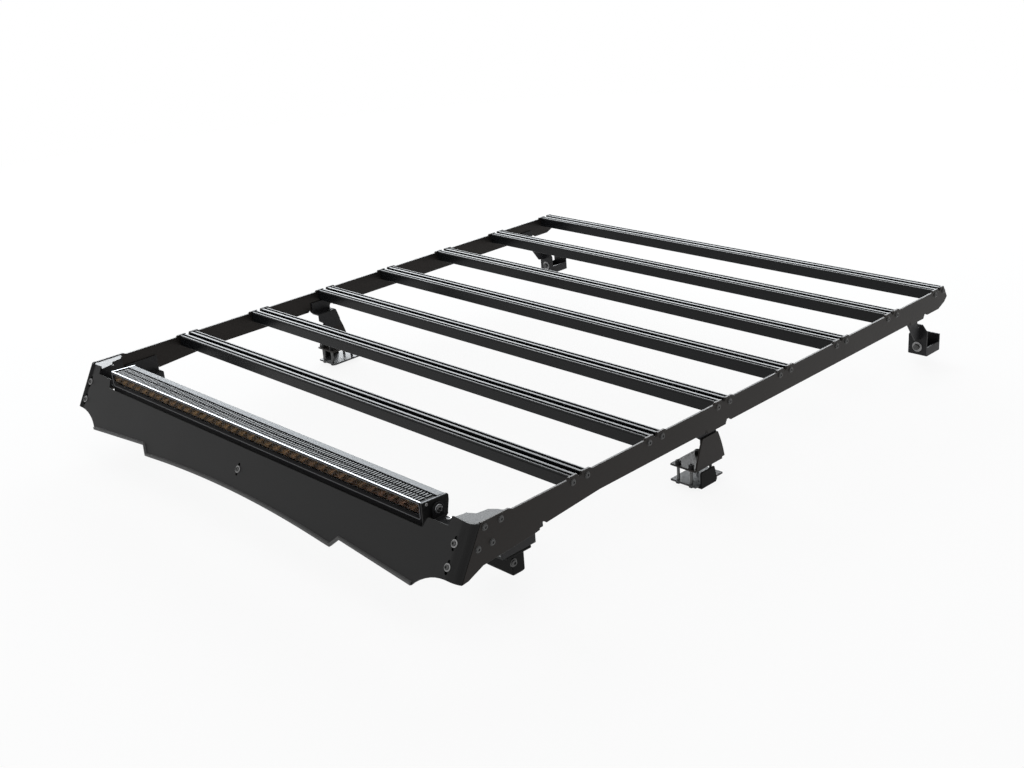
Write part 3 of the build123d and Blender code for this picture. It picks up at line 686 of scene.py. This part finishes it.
class Recipe:
    """Geometry node tree with named inputs, ending in real geometry with its material."""

    def __init__(self, name, inputs):
        self.tree = bpy.data.node_groups.new(name, "GeometryNodeTree")
        face = self.tree.interface
        face.new_socket("Geometry", in_out="INPUT", socket_type="NodeSocketGeometry")
        for label, kind in inputs:
            face.new_socket(label, in_out="INPUT", socket_type="NodeSocket" + kind)
        face.new_socket("Geometry", in_out="OUTPUT", socket_type="NodeSocketGeometry")
        self.given = self.tree.nodes.new("NodeGroupInput").outputs
        self.made = self.tree.nodes.new("NodeGroupOutput").inputs[0]

    def node(self, kind, settings=None, sockets=None, family="GeometryNode"):
        return add_node(self.tree, family + kind, settings, sockets).outputs

    def close(self, geometry):
        real = self.node("RealizeInstances", None, {"Geometry": geometry})[0]
        sockets = {"Geometry": real, "Material": self.given["Material"]}
        self.tree.links.new(self.node("SetMaterial", None, sockets)[0], self.made)
        return self.tree


def row_tree():
    """Copies the piece in a straight row."""
    recipe = Recipe("row", (("Count", "Int"), ("Step", "Vector"), ("Material", "Material")))
    given = recipe.given
    sockets = {"Count": given["Count"], "Offset": given["Step"]}
    points = recipe.node("MeshLine", {"mode": "OFFSET"}, sockets)[0]
    sockets = {"Points": points, "Instance": given["Geometry"]}
    return recipe.close(recipe.node("InstanceOnPoints", None, sockets)[0])


def seat_tree():
    """Sets a template on every point, its Z along the point's aim."""
    recipe = Recipe("seats", (("Template", "Object"), ("Material", "Material")))
    template = recipe.node("ObjectInfo", None, {"Object": recipe.given["Template"]})
    aim = recipe.node("InputNamedAttribute", {"data_type": "FLOAT_VECTOR"}, {"Name": "aim"})
    sockets = {"Vector": aim["Attribute"]}
    turn = recipe.node("AlignRotationToVector", {"axis": "Z"}, sockets, "FunctionNode")
    sockets = {
        "Points": recipe.given["Geometry"],
        "Instance": template["Geometry"],
        "Rotation": turn["Rotation"],
    }
    return recipe.close(recipe.node("InstanceOnPoints", None, sockets)[0])


def sweep_tree():
    """Draws a profile along the piece's own edges."""
    recipe = Recipe("sweep", (("Profile", "Object"), ("Material", "Material")))
    path = recipe.node("MeshToCurve", None, {"Mesh": recipe.given["Geometry"]})[0]
    profile = recipe.node("ObjectInfo", None, {"Object": recipe.given["Profile"]})
    shape = recipe.node("MeshToCurve", None, {"Mesh": profile["Geometry"]})[0]
    sockets = {"Curve": path, "Profile Curve": shape, "Fill Caps": True}
    return recipe.close(recipe.node("CurveToMesh", None, sockets)[0])


TREES = {}


def grow(made, maker, values):
    """Runs one of the trees on the object and keeps the result as plain mesh."""
    if maker not in TREES:
        TREES[maker] = maker()
    modifier = made.modifiers.new("grow", "NODES")
    modifier.node_group = TREES[maker]
    for item in TREES[maker].interface.items_tree:
        if item.in_out == "INPUT" and item.name in values:
            modifier[item.identifier] = values[item.name]
    return freeze(made)


def row(made, count, step, key):
    return grow(made, row_tree, {"Count": count, "Step": step, "Material": finish(key)})


def seats(name, places, template, key):
    """The template set on every (point, direction), as one object."""
    mesh = bpy.data.meshes.new(name)
    mesh.from_pydata([place for place, _ in places], [], [])
    aims = mesh.attributes.new("aim", "FLOAT_VECTOR", "POINT")
    for item, (_, aim) in zip(aims.data, places):
        item.vector = aim
    made = grow(link(name, mesh), seat_tree, {"Template": template, "Material": finish(key)})
    discard(template)
    return smoothed(made, 40)


def fasten(name, places, template, key, nodes=()):
    """Fasteners on all their seats, as one finished piece."""
    return settle(seats(name, places, template, key), key, nodes)


def ring_mesh(name, points, closed):
    """Object of edges alone through the points."""
    bm = bmesh.new()
    verts = [bm.verts.new(point) for point in points]
    ends = zip(verts, verts[1:] + verts[:1]) if closed else zip(verts, verts[1:])
    for a, b in ends:
        bm.edges.new((a, b))
    return to_mesh(name, bm, outward=False)


def swept(name, points, profile, key, closed):
    """Section of (across, out) points drawn along a path."""
    path = ring_mesh(name, points, closed)
    section = ring_mesh("section", [(out * MM, across * MM, 0) for across, out in profile], True)
    grow(path, sweep_tree, {"Profile": section, "Material": finish(key)})
    discard(section)
    return smoothed(path, 50)


def joined(name, pieces):
    """Several mesh objects as one."""
    bm = bmesh.new()
    for piece in pieces:
        bm.from_mesh(piece.data)
        discard(piece)
    return to_mesh(name, bm, outward=False)


# Pieces


def slat_outline():
    """Slat section: ridges, a narrow groove on each side and a T-slot with lips."""
    rear = [((SLAT_WIDTH - y, z), radius) for (y, z), radius in reversed(HALF_SLAT)]
    foot = [((y, -SLAT_DEPTH), SLAT_FOOT_RADIUS) for y in (SLAT_WIDTH, 0)]
    outline = [*HALF_SLAT, *rear, *foot]
    return rounded([point for point, _ in outline], [radius for _, radius in outline], 4, 0.75)


def make_slats(sizes):
    half = SLAT_HIGH.x / MM
    bar = smoothed(drawn_bar("slats", slat_outline(), -half, half))
    slats = row(bar, sizes.slat_count, (0, PITCH, 0), "slat")
    settle(slats, "slat", SLAT_NODES)


def make_rails(sizes):
    width = sizes.edge_radius / MM
    for name in both("side_rail"):
        dressed(f"{name}_plate", [name], width, "rail", tucked=True)


def rail_bolt_seats():
    """Seats of the bolts through the rails' outer faces, into the slats and the wings."""
    found = []
    for _, sign in SIDES:
        spots = [
            (i * PITCH / MM + inset, SLAT_BOLT_HEIGHT)
            for i in range(len(SLAT_NODES))
            for inset in SLAT_BOLT_INSETS
        ]
        for y, z in [*spots, *WING_BOLTS]:
            found.append((deck(sign * RAIL_OUTER, y, z), (sign, 0, 0)))
    return found


def make_bolts(sizes):
    radius = sizes.bolt_head / MM / 2
    discs = rail_bolt_seats()
    template = button_head("rail_bolt", radius, 2.3, 2.3)
    heads = raised(discs, RAIL_WASHER_PROUD)
    fasten("rail_bolt_heads", heads, template, "bolt", both("slat_bolts"))
    fasten("rail_washers", discs, round_disc("rail_washer", radius + 1.0, 0.8), "bolt")
    front = Vector((0, -cos(LEAN), sin(LEAN)))
    discs, tops, backs = [], [], []
    for x, drop in FAIRING_BOLTS:
        discs.append((on_fairing(x, drop), front))
        tops.append((on_fairing(x, drop, FAIRING_WASHER_PROUD), front))
        depth = END_PLATE_DEPTH if x else MIDDLE_PLATE_DEPTH
        backs.append((on_fairing(x, drop, -depth), front))
    template = round_disc("washer", 7.0, 1.5)
    fasten("fairing_washers", discs, template, "washer", ["fairing_centre_bolt"])
    template = button_head("screw", 4.8, 2.8, 2.1)
    fasten("fairing_screws", tops, template, "bolt", both("corner_bolts"))
    fasten("fairing_slot_plates", backs, round_disc("plate", 17.0, 1.5), "oxide")


def lower_edge():
    """Right half of the sheet's arched lower edge, from the middle out, as (X, drop)."""
    radius = (ARCH_HALF**2 + ARCH_RISE**2) / (2 * ARCH_RISE)
    points = []
    for step in range(ARCH_STEPS + 1):
        x = ARCH_HALF * step / ARCH_STEPS
        points.append((x, ARCH_DROP - (sqrt(radius**2 - x**2) - (radius - ARCH_RISE))))
    return points + LOWER_CORNERS


def bend_top(reach):
    """Drop of the sheet's top edge round the corner bend, where it meets the rail's wing."""
    turn = min((reach - BEND_START) / BEND_LENGTH, 1)
    depth = BEND_DEPTH * (1 - cos(turn * pi / 2))
    gap = BEND_TOP_GAP - BEND_TOP_RISE * turn
    return (FAIRING_TOP[1] - gap - depth * sin(LEAN)) / cos(LEAN)


def bend_lines():
    """Distances from the middle at which the corner bend is folded."""
    return [BEND_START + BEND_LENGTH * k / BEND_STEPS for k in range(BEND_STEPS + 1)]


def sheet_half():
    """Right half of the fairing laid flat, as (distance from the middle, drop)."""
    lines = bend_lines() + [BEND_START + BEND_LENGTH + BEND_OVERLAP]
    side = [(reach, SIDE_DROP) for reach in lines]
    side += [(reach, bend_top(reach)) for reach in reversed(lines)]
    return lower_edge() + SCALLOP + side + rounded(UPPER_CORNERS, UPPER_RADII)[1:-1]


def slot_hole(x, drop):
    """Outline of an upright slotted hole."""
    ends = [(k * pi / 6, SLOT_HALF) for k in range(7)]
    ends += [(pi + k * pi / 6, -SLOT_HALF) for k in range(7)]
    return [
        (x + SLOT_RADIUS * cos(angle), drop + shift + SLOT_RADIUS * sin(angle))
        for angle, shift in ends
    ]


def bend(vert):
    """Moves a point of the flat sheet to its place on the bent fairing."""
    side = -1 if vert.co.x < 0 else 1
    reach = abs(vert.co.x)
    if reach <= BEND_START:
        vert.co = on_fairing(vert.co.x, vert.co.y)
        return
    turn = min((reach - BEND_START) / BEND_LENGTH, 1) * pi / 2
    depth = BEND_DEPTH * (1 - cos(turn)) + max(0, reach - BEND_START - BEND_LENGTH)
    vert.co = on_fairing(side * (BEND_START + BEND_WIDTH * sin(turn)), vert.co.y, -depth)


def mirrored(half):
    """Whole outline, left to right, from its right half given from the middle out."""
    return [(-x, drop) for x, drop in reversed(half[1:])] + half


def make_fairing(sizes):
    """Leaning sheet cut from a flat outline with its slots, then bent at both ends."""
    bm = bmesh.new()
    for loop in [mirrored(sheet_half())] + [slot_hole(x, drop) for x, drop in FAIRING_BOLTS]:
        verts = [bm.verts.new((x, drop, 0)) for x, drop in loop]
        for a, b in zip(verts, verts[1:] + verts[:1]):
            bm.edges.new((a, b))
    bmesh.ops.remove_doubles(bm, verts=bm.verts, dist=0.01)
    bmesh.ops.triangle_fill(bm, use_beauty=True, edges=bm.edges)
    for reach in bend_lines():
        for side in (-1, 1):
            parts = bm.verts[:] + bm.edges[:] + bm.faces[:]
            bmesh.ops.bisect_plane(
                bm, geom=parts, dist=0.01, plane_co=(side * reach, 0, 0), plane_no=(1, 0, 0)
            )
    for vert in bm.verts:
        bend(vert)
    flattened(bm)
    bmesh.ops.recalc_face_normals(bm, faces=bm.faces)
    if max(bm.faces, key=lambda face: face.calc_area()).normal.y > 0:
        bmesh.ops.reverse_faces(bm, faces=bm.faces)
    sheet = to_mesh("fairing_sheet", bm, outward=False)
    wall = sheet.modifiers.new("wall", "SOLIDIFY")
    wall.thickness = SHEET * MM
    wall.offset = -1
    wall.use_even_offset = True
    soften(freeze(sheet), sizes.edge_radius / MM)
    settle(sheet, "fairing", ["fairing_panel"])


def make_trim(sizes):
    """Rubber edge trim, a rounded section drawn along the lower edge."""
    half, wide = sizes.trim_width / MM / 2, TRIM_HALF_DEPTH
    outline = rounded([(-wide, -half), (-wide, half), (wide, half), (wide, -half)], [1.6] * 4)
    path = [on_fairing(x, drop - TRIM_RISE, -TRIM_INSET) for x, drop in mirrored(lower_edge())]
    trim = swept("edge_trim", path, [(point.x, point.y) for point in outline], "trim", False)
    settle(trim, "trim", ["fairing_edge_trim"])


def make_brackets(sizes):
    for names in zip(both("corner_bracket"), both("light_bar_arm")):
        for name, tucked in zip(names, (True, False)):
            dressed(f"{name}_sheet", [name], 0.5, "bracket", tucked=tucked)


def deck_box(node):
    """Low and high corner of a CAD node in millimetres on the deck."""
    low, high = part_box(node)
    return (low - DECK) / MM, (high - DECK) / MM


def make_lamp(sizes):
    low, high = deck_box("light_bar_housing")
    dressed("light_bar_body", ["light_bar_housing"], 1.0, "housing", 3)
    fin_rows = []
    pitch = sizes.fin_pitch / MM
    half = sizes.fin_width / MM / 2
    count = int((high.x - low.x - FIN_MARGIN) / pitch)
    start = -(count - 1) * pitch / 2
    for index, (front, rear, top) in enumerate(FIN_ROWS):
        foot = top - FIN_HEIGHT
        corners = [(front, foot), (front, top), (rear, top - 0.6), (rear, foot)]
        outline = rounded(corners, [0.1, 1.2, 1.2, 0.1], 2)
        fin = drawn_bar(f"fin_{index}", outline, start - half, start + half)
        fin_rows.append(row(fin, count, (pitch * MM, 0, 0), "fins"))
    settle(smoothed(joined("light_bar_fins", fin_rows), 40), "fins")
    make_lamp_edges(low, high)
    make_bead(low, high)
    for name in both("light_bar_end_cap"):
        dressed(f"{name}_plate", [name], 1.2, "cap", 3)


def lamp_bar(name, corners, radii, ends, key, steps=3):
    """Finished bar along X with rounded corners."""
    bar = drawn_bar(name, rounded(corners, radii, steps), *ends)
    settle(smoothed(bar), key)


def make_lamp_edges(low, high):
    """Bright lip along the housing's front, plain strip along its rear, edges of the caps."""
    ends = (low.x + LIP_INSET, high.x - LIP_INSET)
    front, rear = low.y + 0.5, low.y + 3.5
    corners = [(front, 9.5), (front, 10.5), (rear, 10.5), (rear, 9.5)]
    lamp_bar("light_bar_front_lip", corners, [0.2, 0.7, 0.4, 0.2], ends, "edge")
    front, rear = STRIP_FRONT, high.y - 1.6
    corners = [(front, 8.0), (front, 9.2), (rear, 7.8), (rear, 6.4)]
    lamp_bar("light_bar_rear_strip", corners, [0.2, 0.5, 0.9, 0.2], ends, "strip")
    front, rear = low.y + 0.6, high.y + 1.0
    corners = [(front, 9.2), (front, 10.5), (rear, 7.6), (rear, 6.4)]
    for side, sign in SIDES:
        ends = sorted((sign * (high.x + 0.4), sign * (high.x + 3.4)))
        # Painted light and shade: the left end edge takes the bright lip finish and the right
        # end edge the plainer strip finish, though both ends are alike.
        key = "strip" if sign > 0 else "edge"
        name = f"light_bar_end_edge_{side}"
        lamp_bar(name, corners, [0.2, 0.5, 0.5, 0.2], ends, key)


def make_bead(low, high):
    """Thin raised bead round the light bar's window, and the step inside it."""
    half = high.x - BEAD_INSET
    corners = [(-half, BEAD_LOW), (half, BEAD_LOW), (half, BEAD_HIGH), (-half, BEAD_HIGH)]
    path = [deck(x, low.y - 0.3, z) for x, z in rounded(corners, [BEAD_CORNER] * 4, 6)]
    circle = [(cos(pi * k / 4), sin(pi * k / 4)) for k in range(8)]
    bead = swept("light_bar_bead", path, circle, "bead", True)
    settle(bead, "bead")
    ends = (low.x + LEDGE_INSET, high.x - LEDGE_INSET)
    lamp_bar("light_bar_ledge", LEDGE, [0.1, 0.5, 0.5, 0.1], ends, "housing", steps=2)


def make_lens(sizes):
    dressed("light_bar_window", ["light_bar_lens"], 0.5, "lens", 3)


def reflector_cell(low, high, pitch):
    """First cell of the row, a parabolic bowl that squares up towards its rim."""
    tall = high.z - low.z
    middle = (low.z + high.z) / 2
    bm = bmesh.new()
    loops = []
    for ring in range(1, CELL_RINGS + 1):
        t = ring / CELL_RINGS
        loop = []
        for k in range(CELL_SIDES):
            angle = 2 * pi * (k + 0.5) / CELL_SIDES
            c, s = cos(angle), sin(angle)
            square = 1 / max(abs(c), abs(s))
            reach = CELL_SHARE * (t + (square - 1) * t**5)
            x = low.x + pitch / 2 + c * reach * pitch
            y = low.y + 1 + (high.y - low.y - 3) * (1 - t**2)
            loop.append(bm.verts.new(deck(x, y, middle + s * reach * tall)))
        loops.append(loop)
    for a, b in zip(loops, loops[1:]):
        for k in range(CELL_SIDES):
            n = (k + 1) % CELL_SIDES
            bm.faces.new((a[k], a[n], b[n], b[k]))
    bm.faces.new(loops[0])
    outer = []
    for x, z in ((-0.5, -0.5), (0.5, -0.5), (0.5, 0.5), (-0.5, 0.5)):
        place = deck(low.x + pitch * (0.5 + x), low.y + 1, middle + z * tall)
        outer.append(bm.verts.new(place))
    quarter = CELL_SIDES // 4
    for corner in range(4):
        start = (corner * quarter + 5 * quarter // 2) % CELL_SIDES
        run = [loops[-1][(start + k) % CELL_SIDES] for k in range(quarter + 1)]
        bm.faces.new([outer[corner], outer[(corner + 1) % 4]] + list(reversed(run)))
    return to_mesh("light_bar_cells", bm)


def make_reflectors(sizes):
    """Row of cells, each with its light source in the middle."""
    low, high = deck_box("light_bar_reflectors")
    count = sizes.cell_count
    pitch = (high.x - low.x) / count
    cells = row(reflector_cell(low, high, pitch), count, (pitch * MM, 0, 0), "mirror")
    settle(smoothed(cells, 50), "mirror", ["light_bar_reflectors"])
    chips = []
    for i in range(count):
        place = deck(low.x + pitch * (i + 0.5), high.y - 3.4, (low.z + high.z) / 2)
        chips.append((place, (0, -1, 0)))
    template = round_disc("chip", 2.6, 1.4, sides=12)
    settle(seats("light_bar_chips", chips, template, "chip"), "chip")


def make_lamp_bolts(sizes):
    low, high = deck_box("light_bar_housing")
    pivot = (high.y + low.y) / 2 + PIVOT_OFFSET
    washers = sideways(high.x + PIVOT_PROUD, pivot, PIVOT_HEIGHT)
    template = button_head("pivot", 5.6, 3.2, 2.6)
    fasten("light_bar_pivots", raised(washers, 1.2), template, "bolt", both("light_bar_bolts"))
    fasten("light_bar_washers", washers, round_disc("ring", 8.0, 1.4), "steel")
    feet = sideways(high.x + ARM_FOOT_PROUD, pivot, ARM_FOOT_HEIGHT)
    feet = [(place, (0, 0, 1)) for place, _ in feet]
    fasten("light_bar_foot_nuts", feet, cap_head("cap", 5, 7, 2.6), "steel")
    screws = sideways(high.x + 3.8, *END_SCREW)
    fasten("light_bar_end_screws", screws, button_head("screw", 3.0, 1.6, 1.3), "washer")


def make_feet(sizes):
    """Coated sheets, clamp blocks and saddles of the six feet."""
    thin = sizes.edge_radius / MM
    kinds = (
        ("front_foot_hanger", "sheet", thin, "foot", "foot_black", 2),
        ("middle_foot_hanger", "sheet", thin, "foot", "foot_black", 2),
        ("middle_foot_riser", "sheet", thin, "rail", "foot_black", 2),
        ("rear_foot_plate", "sheet", thin, "foot", "foot_black", 2),
        ("rear_foot_cup", "sheet", thin, "foot", "foot_black", 2),
        ("middle_foot_plate", "sheet", thin, "plate", "foot_plate", 2),
        ("front_foot_block", "body", 2.0, "rubber", "foot_black", 3),
        ("middle_foot_saddle", "pad", 5.0, "rubber", "foot_saddle", 4),
    )
    for side, _ in SIDES:
        for stem, ending, width, key, slot_name, segments in kinds:
            name = f"{stem}_{side}"
            dressed(f"{name}_{ending}", [name], width, key, segments)


def make_foot_bolts(sizes):
    rods = [(deck(x, y, CLAMP_LOW), (0, 0, 1)) for x, y in CLAMP_BOLTS]
    caps = [(deck(x, y, CLAMP_TOP), (0, 0, 1)) for x, y in CLAMP_BOLTS]
    nuts = [(place, (0, 0, -1)) for place, _ in rods]
    walls = sideways(*FRONT_WALL_BOLT)
    fronts = sideways(*FRONT_CLAMP_BOLT)
    rears = [(place, (0, -1, 0)) for place, _ in sideways(*REAR_CLAMP_BOLT)]
    template = round_disc("rod", 3.0, CLAMP_ROD, sides=16)
    fasten("middle_foot_rods", rods, template, "rod", both("middle_foot_bolts"))
    fasten("middle_foot_heads", caps, cap_head("cap", 5.6, 8.5, 2.9), "oxide")
    fasten("middle_foot_nuts", nuts, hex_nut("nut", 10, 3.5), "oxide")
    template = button_head("wall", 5.2, 3.0, 2.3)
    fasten("front_foot_wall_bolts", walls, template, "bolt", both("foot_bolts"))
    fasten("front_foot_washers", fronts, round_disc("disc", 7.6, 1.6), "bolt")
    fasten("front_foot_bolts", raised(fronts, 1.4), button_head("bolt", 6.0, 3.0, 2.8), "bolt")
    fasten("rear_foot_washers", rears, round_disc("plate", 12, 1.8), "washer")
    fasten("rear_foot_bolts", raised(rears, 1.8), hex_nut("bolt", 13, 6), "bolt")


# Studio


def lamp(name, extent, place, aim, power, colour):
    """Soft rectangular studio lamp at a place, turned towards a point."""
    data = bpy.data.lights.new(name, "AREA")
    data.shape = "RECTANGLE"
    data.size, data.size_y = extent
    data.energy = power
    data.color = colour
    made = link(name, data)
    made.location = place
    made.rotation_euler = (Vector(aim) - Vector(place)).to_track_quat("-Z", "Y").to_euler()


def make_world():
    """White to the camera and in reflections, softer as a light."""
    world = bpy.data.worlds.new("studio_world")
    bpy.context.scene.world = world
    world.use_nodes = True
    sky = Nodes(world.node_tree, "World")
    soft = sky.node("Background", None, {"Color": WHITE, "Strength": WORLD_STRENGTH})
    full = sky.node("Background", None, {"Color": WHITE, "Strength": 1.0})
    sky.close(sky.node("MixShader", None, {"Fac": sky.seen(), 1: soft, 2: full}))


def make_camera():
    """Camera fitted to the corners of the slats in the photograph."""
    data = bpy.data.cameras.new("photo_camera")
    data.sensor_width = 36
    data.lens = CAMERA_LENS
    data.clip_start = 0.05
    data.clip_end = 60
    made = link("photo_camera", data)
    turn = Matrix((CAMERA_RIGHT, CAMERA_UP, CAMERA_BACK)).transposed().to_4x4()
    made.matrix_world = Matrix.Translation(deck(*CAMERA_PLACE)) @ turn
    bpy.context.scene.camera = made


def make_floor(size):
    bm = bmesh.new()
    for x, y in ((-1, -1), (1, -1), (1, 1), (-1, 1)):
        bm.verts.new((x * size, y * size, 0))
    bm.faces.new(bm.verts[:])
    floor = to_mesh("studio_floor", bm)
    floor.data.materials.append(finish("floor"))


def make_stage(sizes):
    bpy.context.scene.view_settings.view_transform = "Standard"
    make_floor(sizes.floor_reach)
    make_world()
    for settings in LAMPS:
        lamp(*settings)
    make_camera()


# Add-on


def length(label, text, value):
    return bpy.props.FloatProperty(name=label, description=text, default=value, unit="LENGTH")


def number(label, text, value):
    return bpy.props.IntProperty(name=label, description=text, default=value, min=1)


def swatch(label, text, value):
    return bpy.props.FloatVectorProperty(
        name=label, description=text, default=value, size=3, min=0, max=1, subtype="COLOR"
    )


class RackSizes(bpy.types.PropertyGroup):
    """Sizes of the rack's details."""

    slat_count: number("Slats", "Number of cross slats", len(SLAT_NODES))
    edge_radius: length("Edge radius", "Rounding of sheet edges", 0.6 * MM)
    bolt_head: length("Bolt head", "Diameter of the rails' bolt heads", 10.5 * MM)
    trim_width: length("Trim width", "Width of the fairing's edge trim", 9.5 * MM)
    fin_pitch: length("Fin pitch", "Distance between the light bar's fins", 7.7 * MM)
    fin_width: length("Fin width", "Thickness of one fin", 3.2 * MM)
    cell_count: number("Cells", "Number of reflector cells", 36)
    floor_reach: length("Floor reach", "Half the width of the studio floor", 12.0)


class RackColours(bpy.types.PropertyGroup):
    """Colours of the rack's finishes."""

    slat: swatch("Slats", "Satin black powder coat", (0.0065, 0.007, 0.0078))
    rail: swatch("Side rails", "Warm black powder coat", (0.009, 0.0078, 0.0072))
    fairing: swatch("Fairing", "Grey black powder coat", (0.0105, 0.0105, 0.0106))
    coat: swatch("Brackets", "Black powder coat", (0.011, 0.011, 0.012))
    plate: swatch("Clamp plate", "Coated lower clamp plate", (0.05, 0.05, 0.052))
    housing: swatch("Housing", "Light bar's housing", (0.004, 0.004, 0.0045))
    fins: swatch("Fins", "Light bar's cooling fins", (0.03, 0.033, 0.037))
    plastic: swatch("Black plastic", "End caps and clamps", (0.0035, 0.0035, 0.0035))
    edge: swatch("Bright lip", "Metal lip of the light bar", (0.44, 0.46, 0.49))
    strip: swatch("Plain strip", "Metal strip behind the fins", (0.2, 0.212, 0.225))
    bead: swatch("Bead", "Bead round the window", (0.09, 0.09, 0.095))
    lens: swatch("Lens", "Clear window", (0.01, 0.01, 0.01))
    reflector: swatch("Reflector", "Tinted reflector cells", (0.2, 0.128, 0.046))
    chip: swatch("Light source", "Pale chip in each cell", (0.34, 0.25, 0.1))
    bolt: swatch("Bolt", "Blackened bolts", (0.06, 0.06, 0.06))
    rod: swatch("Rod", "Clamp bolts' shanks", (0.09, 0.09, 0.09))
    oxide: swatch("Black oxide", "Clamp bolts' heads", (0.008, 0.008, 0.008))
    steel: swatch("Bright steel", "Light bar's fasteners", (0.5, 0.51, 0.52))
    washer: swatch("Washer", "Plain steel washers", (0.24, 0.24, 0.24))
    trim: swatch("Edge trim", "Grey black rubber", (0.075, 0.075, 0.075))
    floor: swatch("Floor", "Pale studio floor", (0.95, 0.95, 0.95))


def operator(name, label, text, work):
    """Operator class that runs one of the makers with the panel's sizes."""

    def execute(self, context):
        work(context.scene.rack_sizes)
        return {"FINISHED"}

    members = {"__doc__": text, "bl_idname": f"rack.{name}", "bl_label": label}
    return type(f"RACK_OT_{name}", (bpy.types.Operator,), {**members, "execute": execute})


OPERATORS = (
    operator("slats", "Slats", "Seven slotted cross slats", make_slats),
    operator("rails", "Side rails", "Side plates with ears", make_rails),
    operator("fairing", "Fairing", "Leaning front sheet", make_fairing),
    operator("edge_trim", "Edge trim", "Trim along the fairing's lower edge", make_trim),
    operator("brackets", "Brackets", "Corner brackets and light bar arms", make_brackets),
    operator("light_bar", "Light bar", "Housing, fins, rim and end caps", make_lamp),
    operator("lens", "Lens", "Clear window of the light bar", make_lens),
    operator("reflectors", "Reflectors", "Row of reflector cells", make_reflectors),
    operator("lamp_bolts", "Light bar bolts", "Pivot bolts and foot nuts", make_lamp_bolts),
    operator("bolts", "Bolts", "Bolts of the rails and the fairing", make_bolts),
    operator("feet", "Feet", "Brackets, plates and blocks of the six feet", make_feet),
    operator("foot_bolts", "Foot bolts", "Fasteners of the feet", make_foot_bolts),
    operator("stage", "Studio", "Floor, lamps, world and camera", make_stage),
)


class RACK_PT_panel(bpy.types.Panel):
    """Sizes, colours and makers of the roof rack"""

    bl_idname = "RACK_PT_panel"
    bl_label = "Roof rack"
    bl_space_type = "VIEW_3D"
    bl_region_type = "UI"
    bl_category = "Roof rack"

    def draw(self, context):
        for group in (context.scene.rack_sizes, context.scene.rack_colours):
            for key in group.__annotations__:
                self.layout.prop(group, key)
        for maker in OPERATORS:
            self.layout.operator(maker.bl_idname)


CLASSES = (RackSizes, RackColours, *OPERATORS, RACK_PT_panel)


def register():
    for kind in CLASSES:
        bpy.utils.register_class(kind)
    bpy.types.Scene.rack_sizes = bpy.props.PointerProperty(type=RackSizes)
    bpy.types.Scene.rack_colours = bpy.props.PointerProperty(type=RackColours)


def unregister():
    del bpy.types.Scene.rack_colours
    del bpy.types.Scene.rack_sizes
    for kind in reversed(CLASSES):
        bpy.utils.unregister_class(kind)


def main():
    register()
    for maker in OPERATORS:
        getattr(bpy.ops.rack, maker.bl_idname.split(".")[1])()


if __name__ == "__main__":
    main()
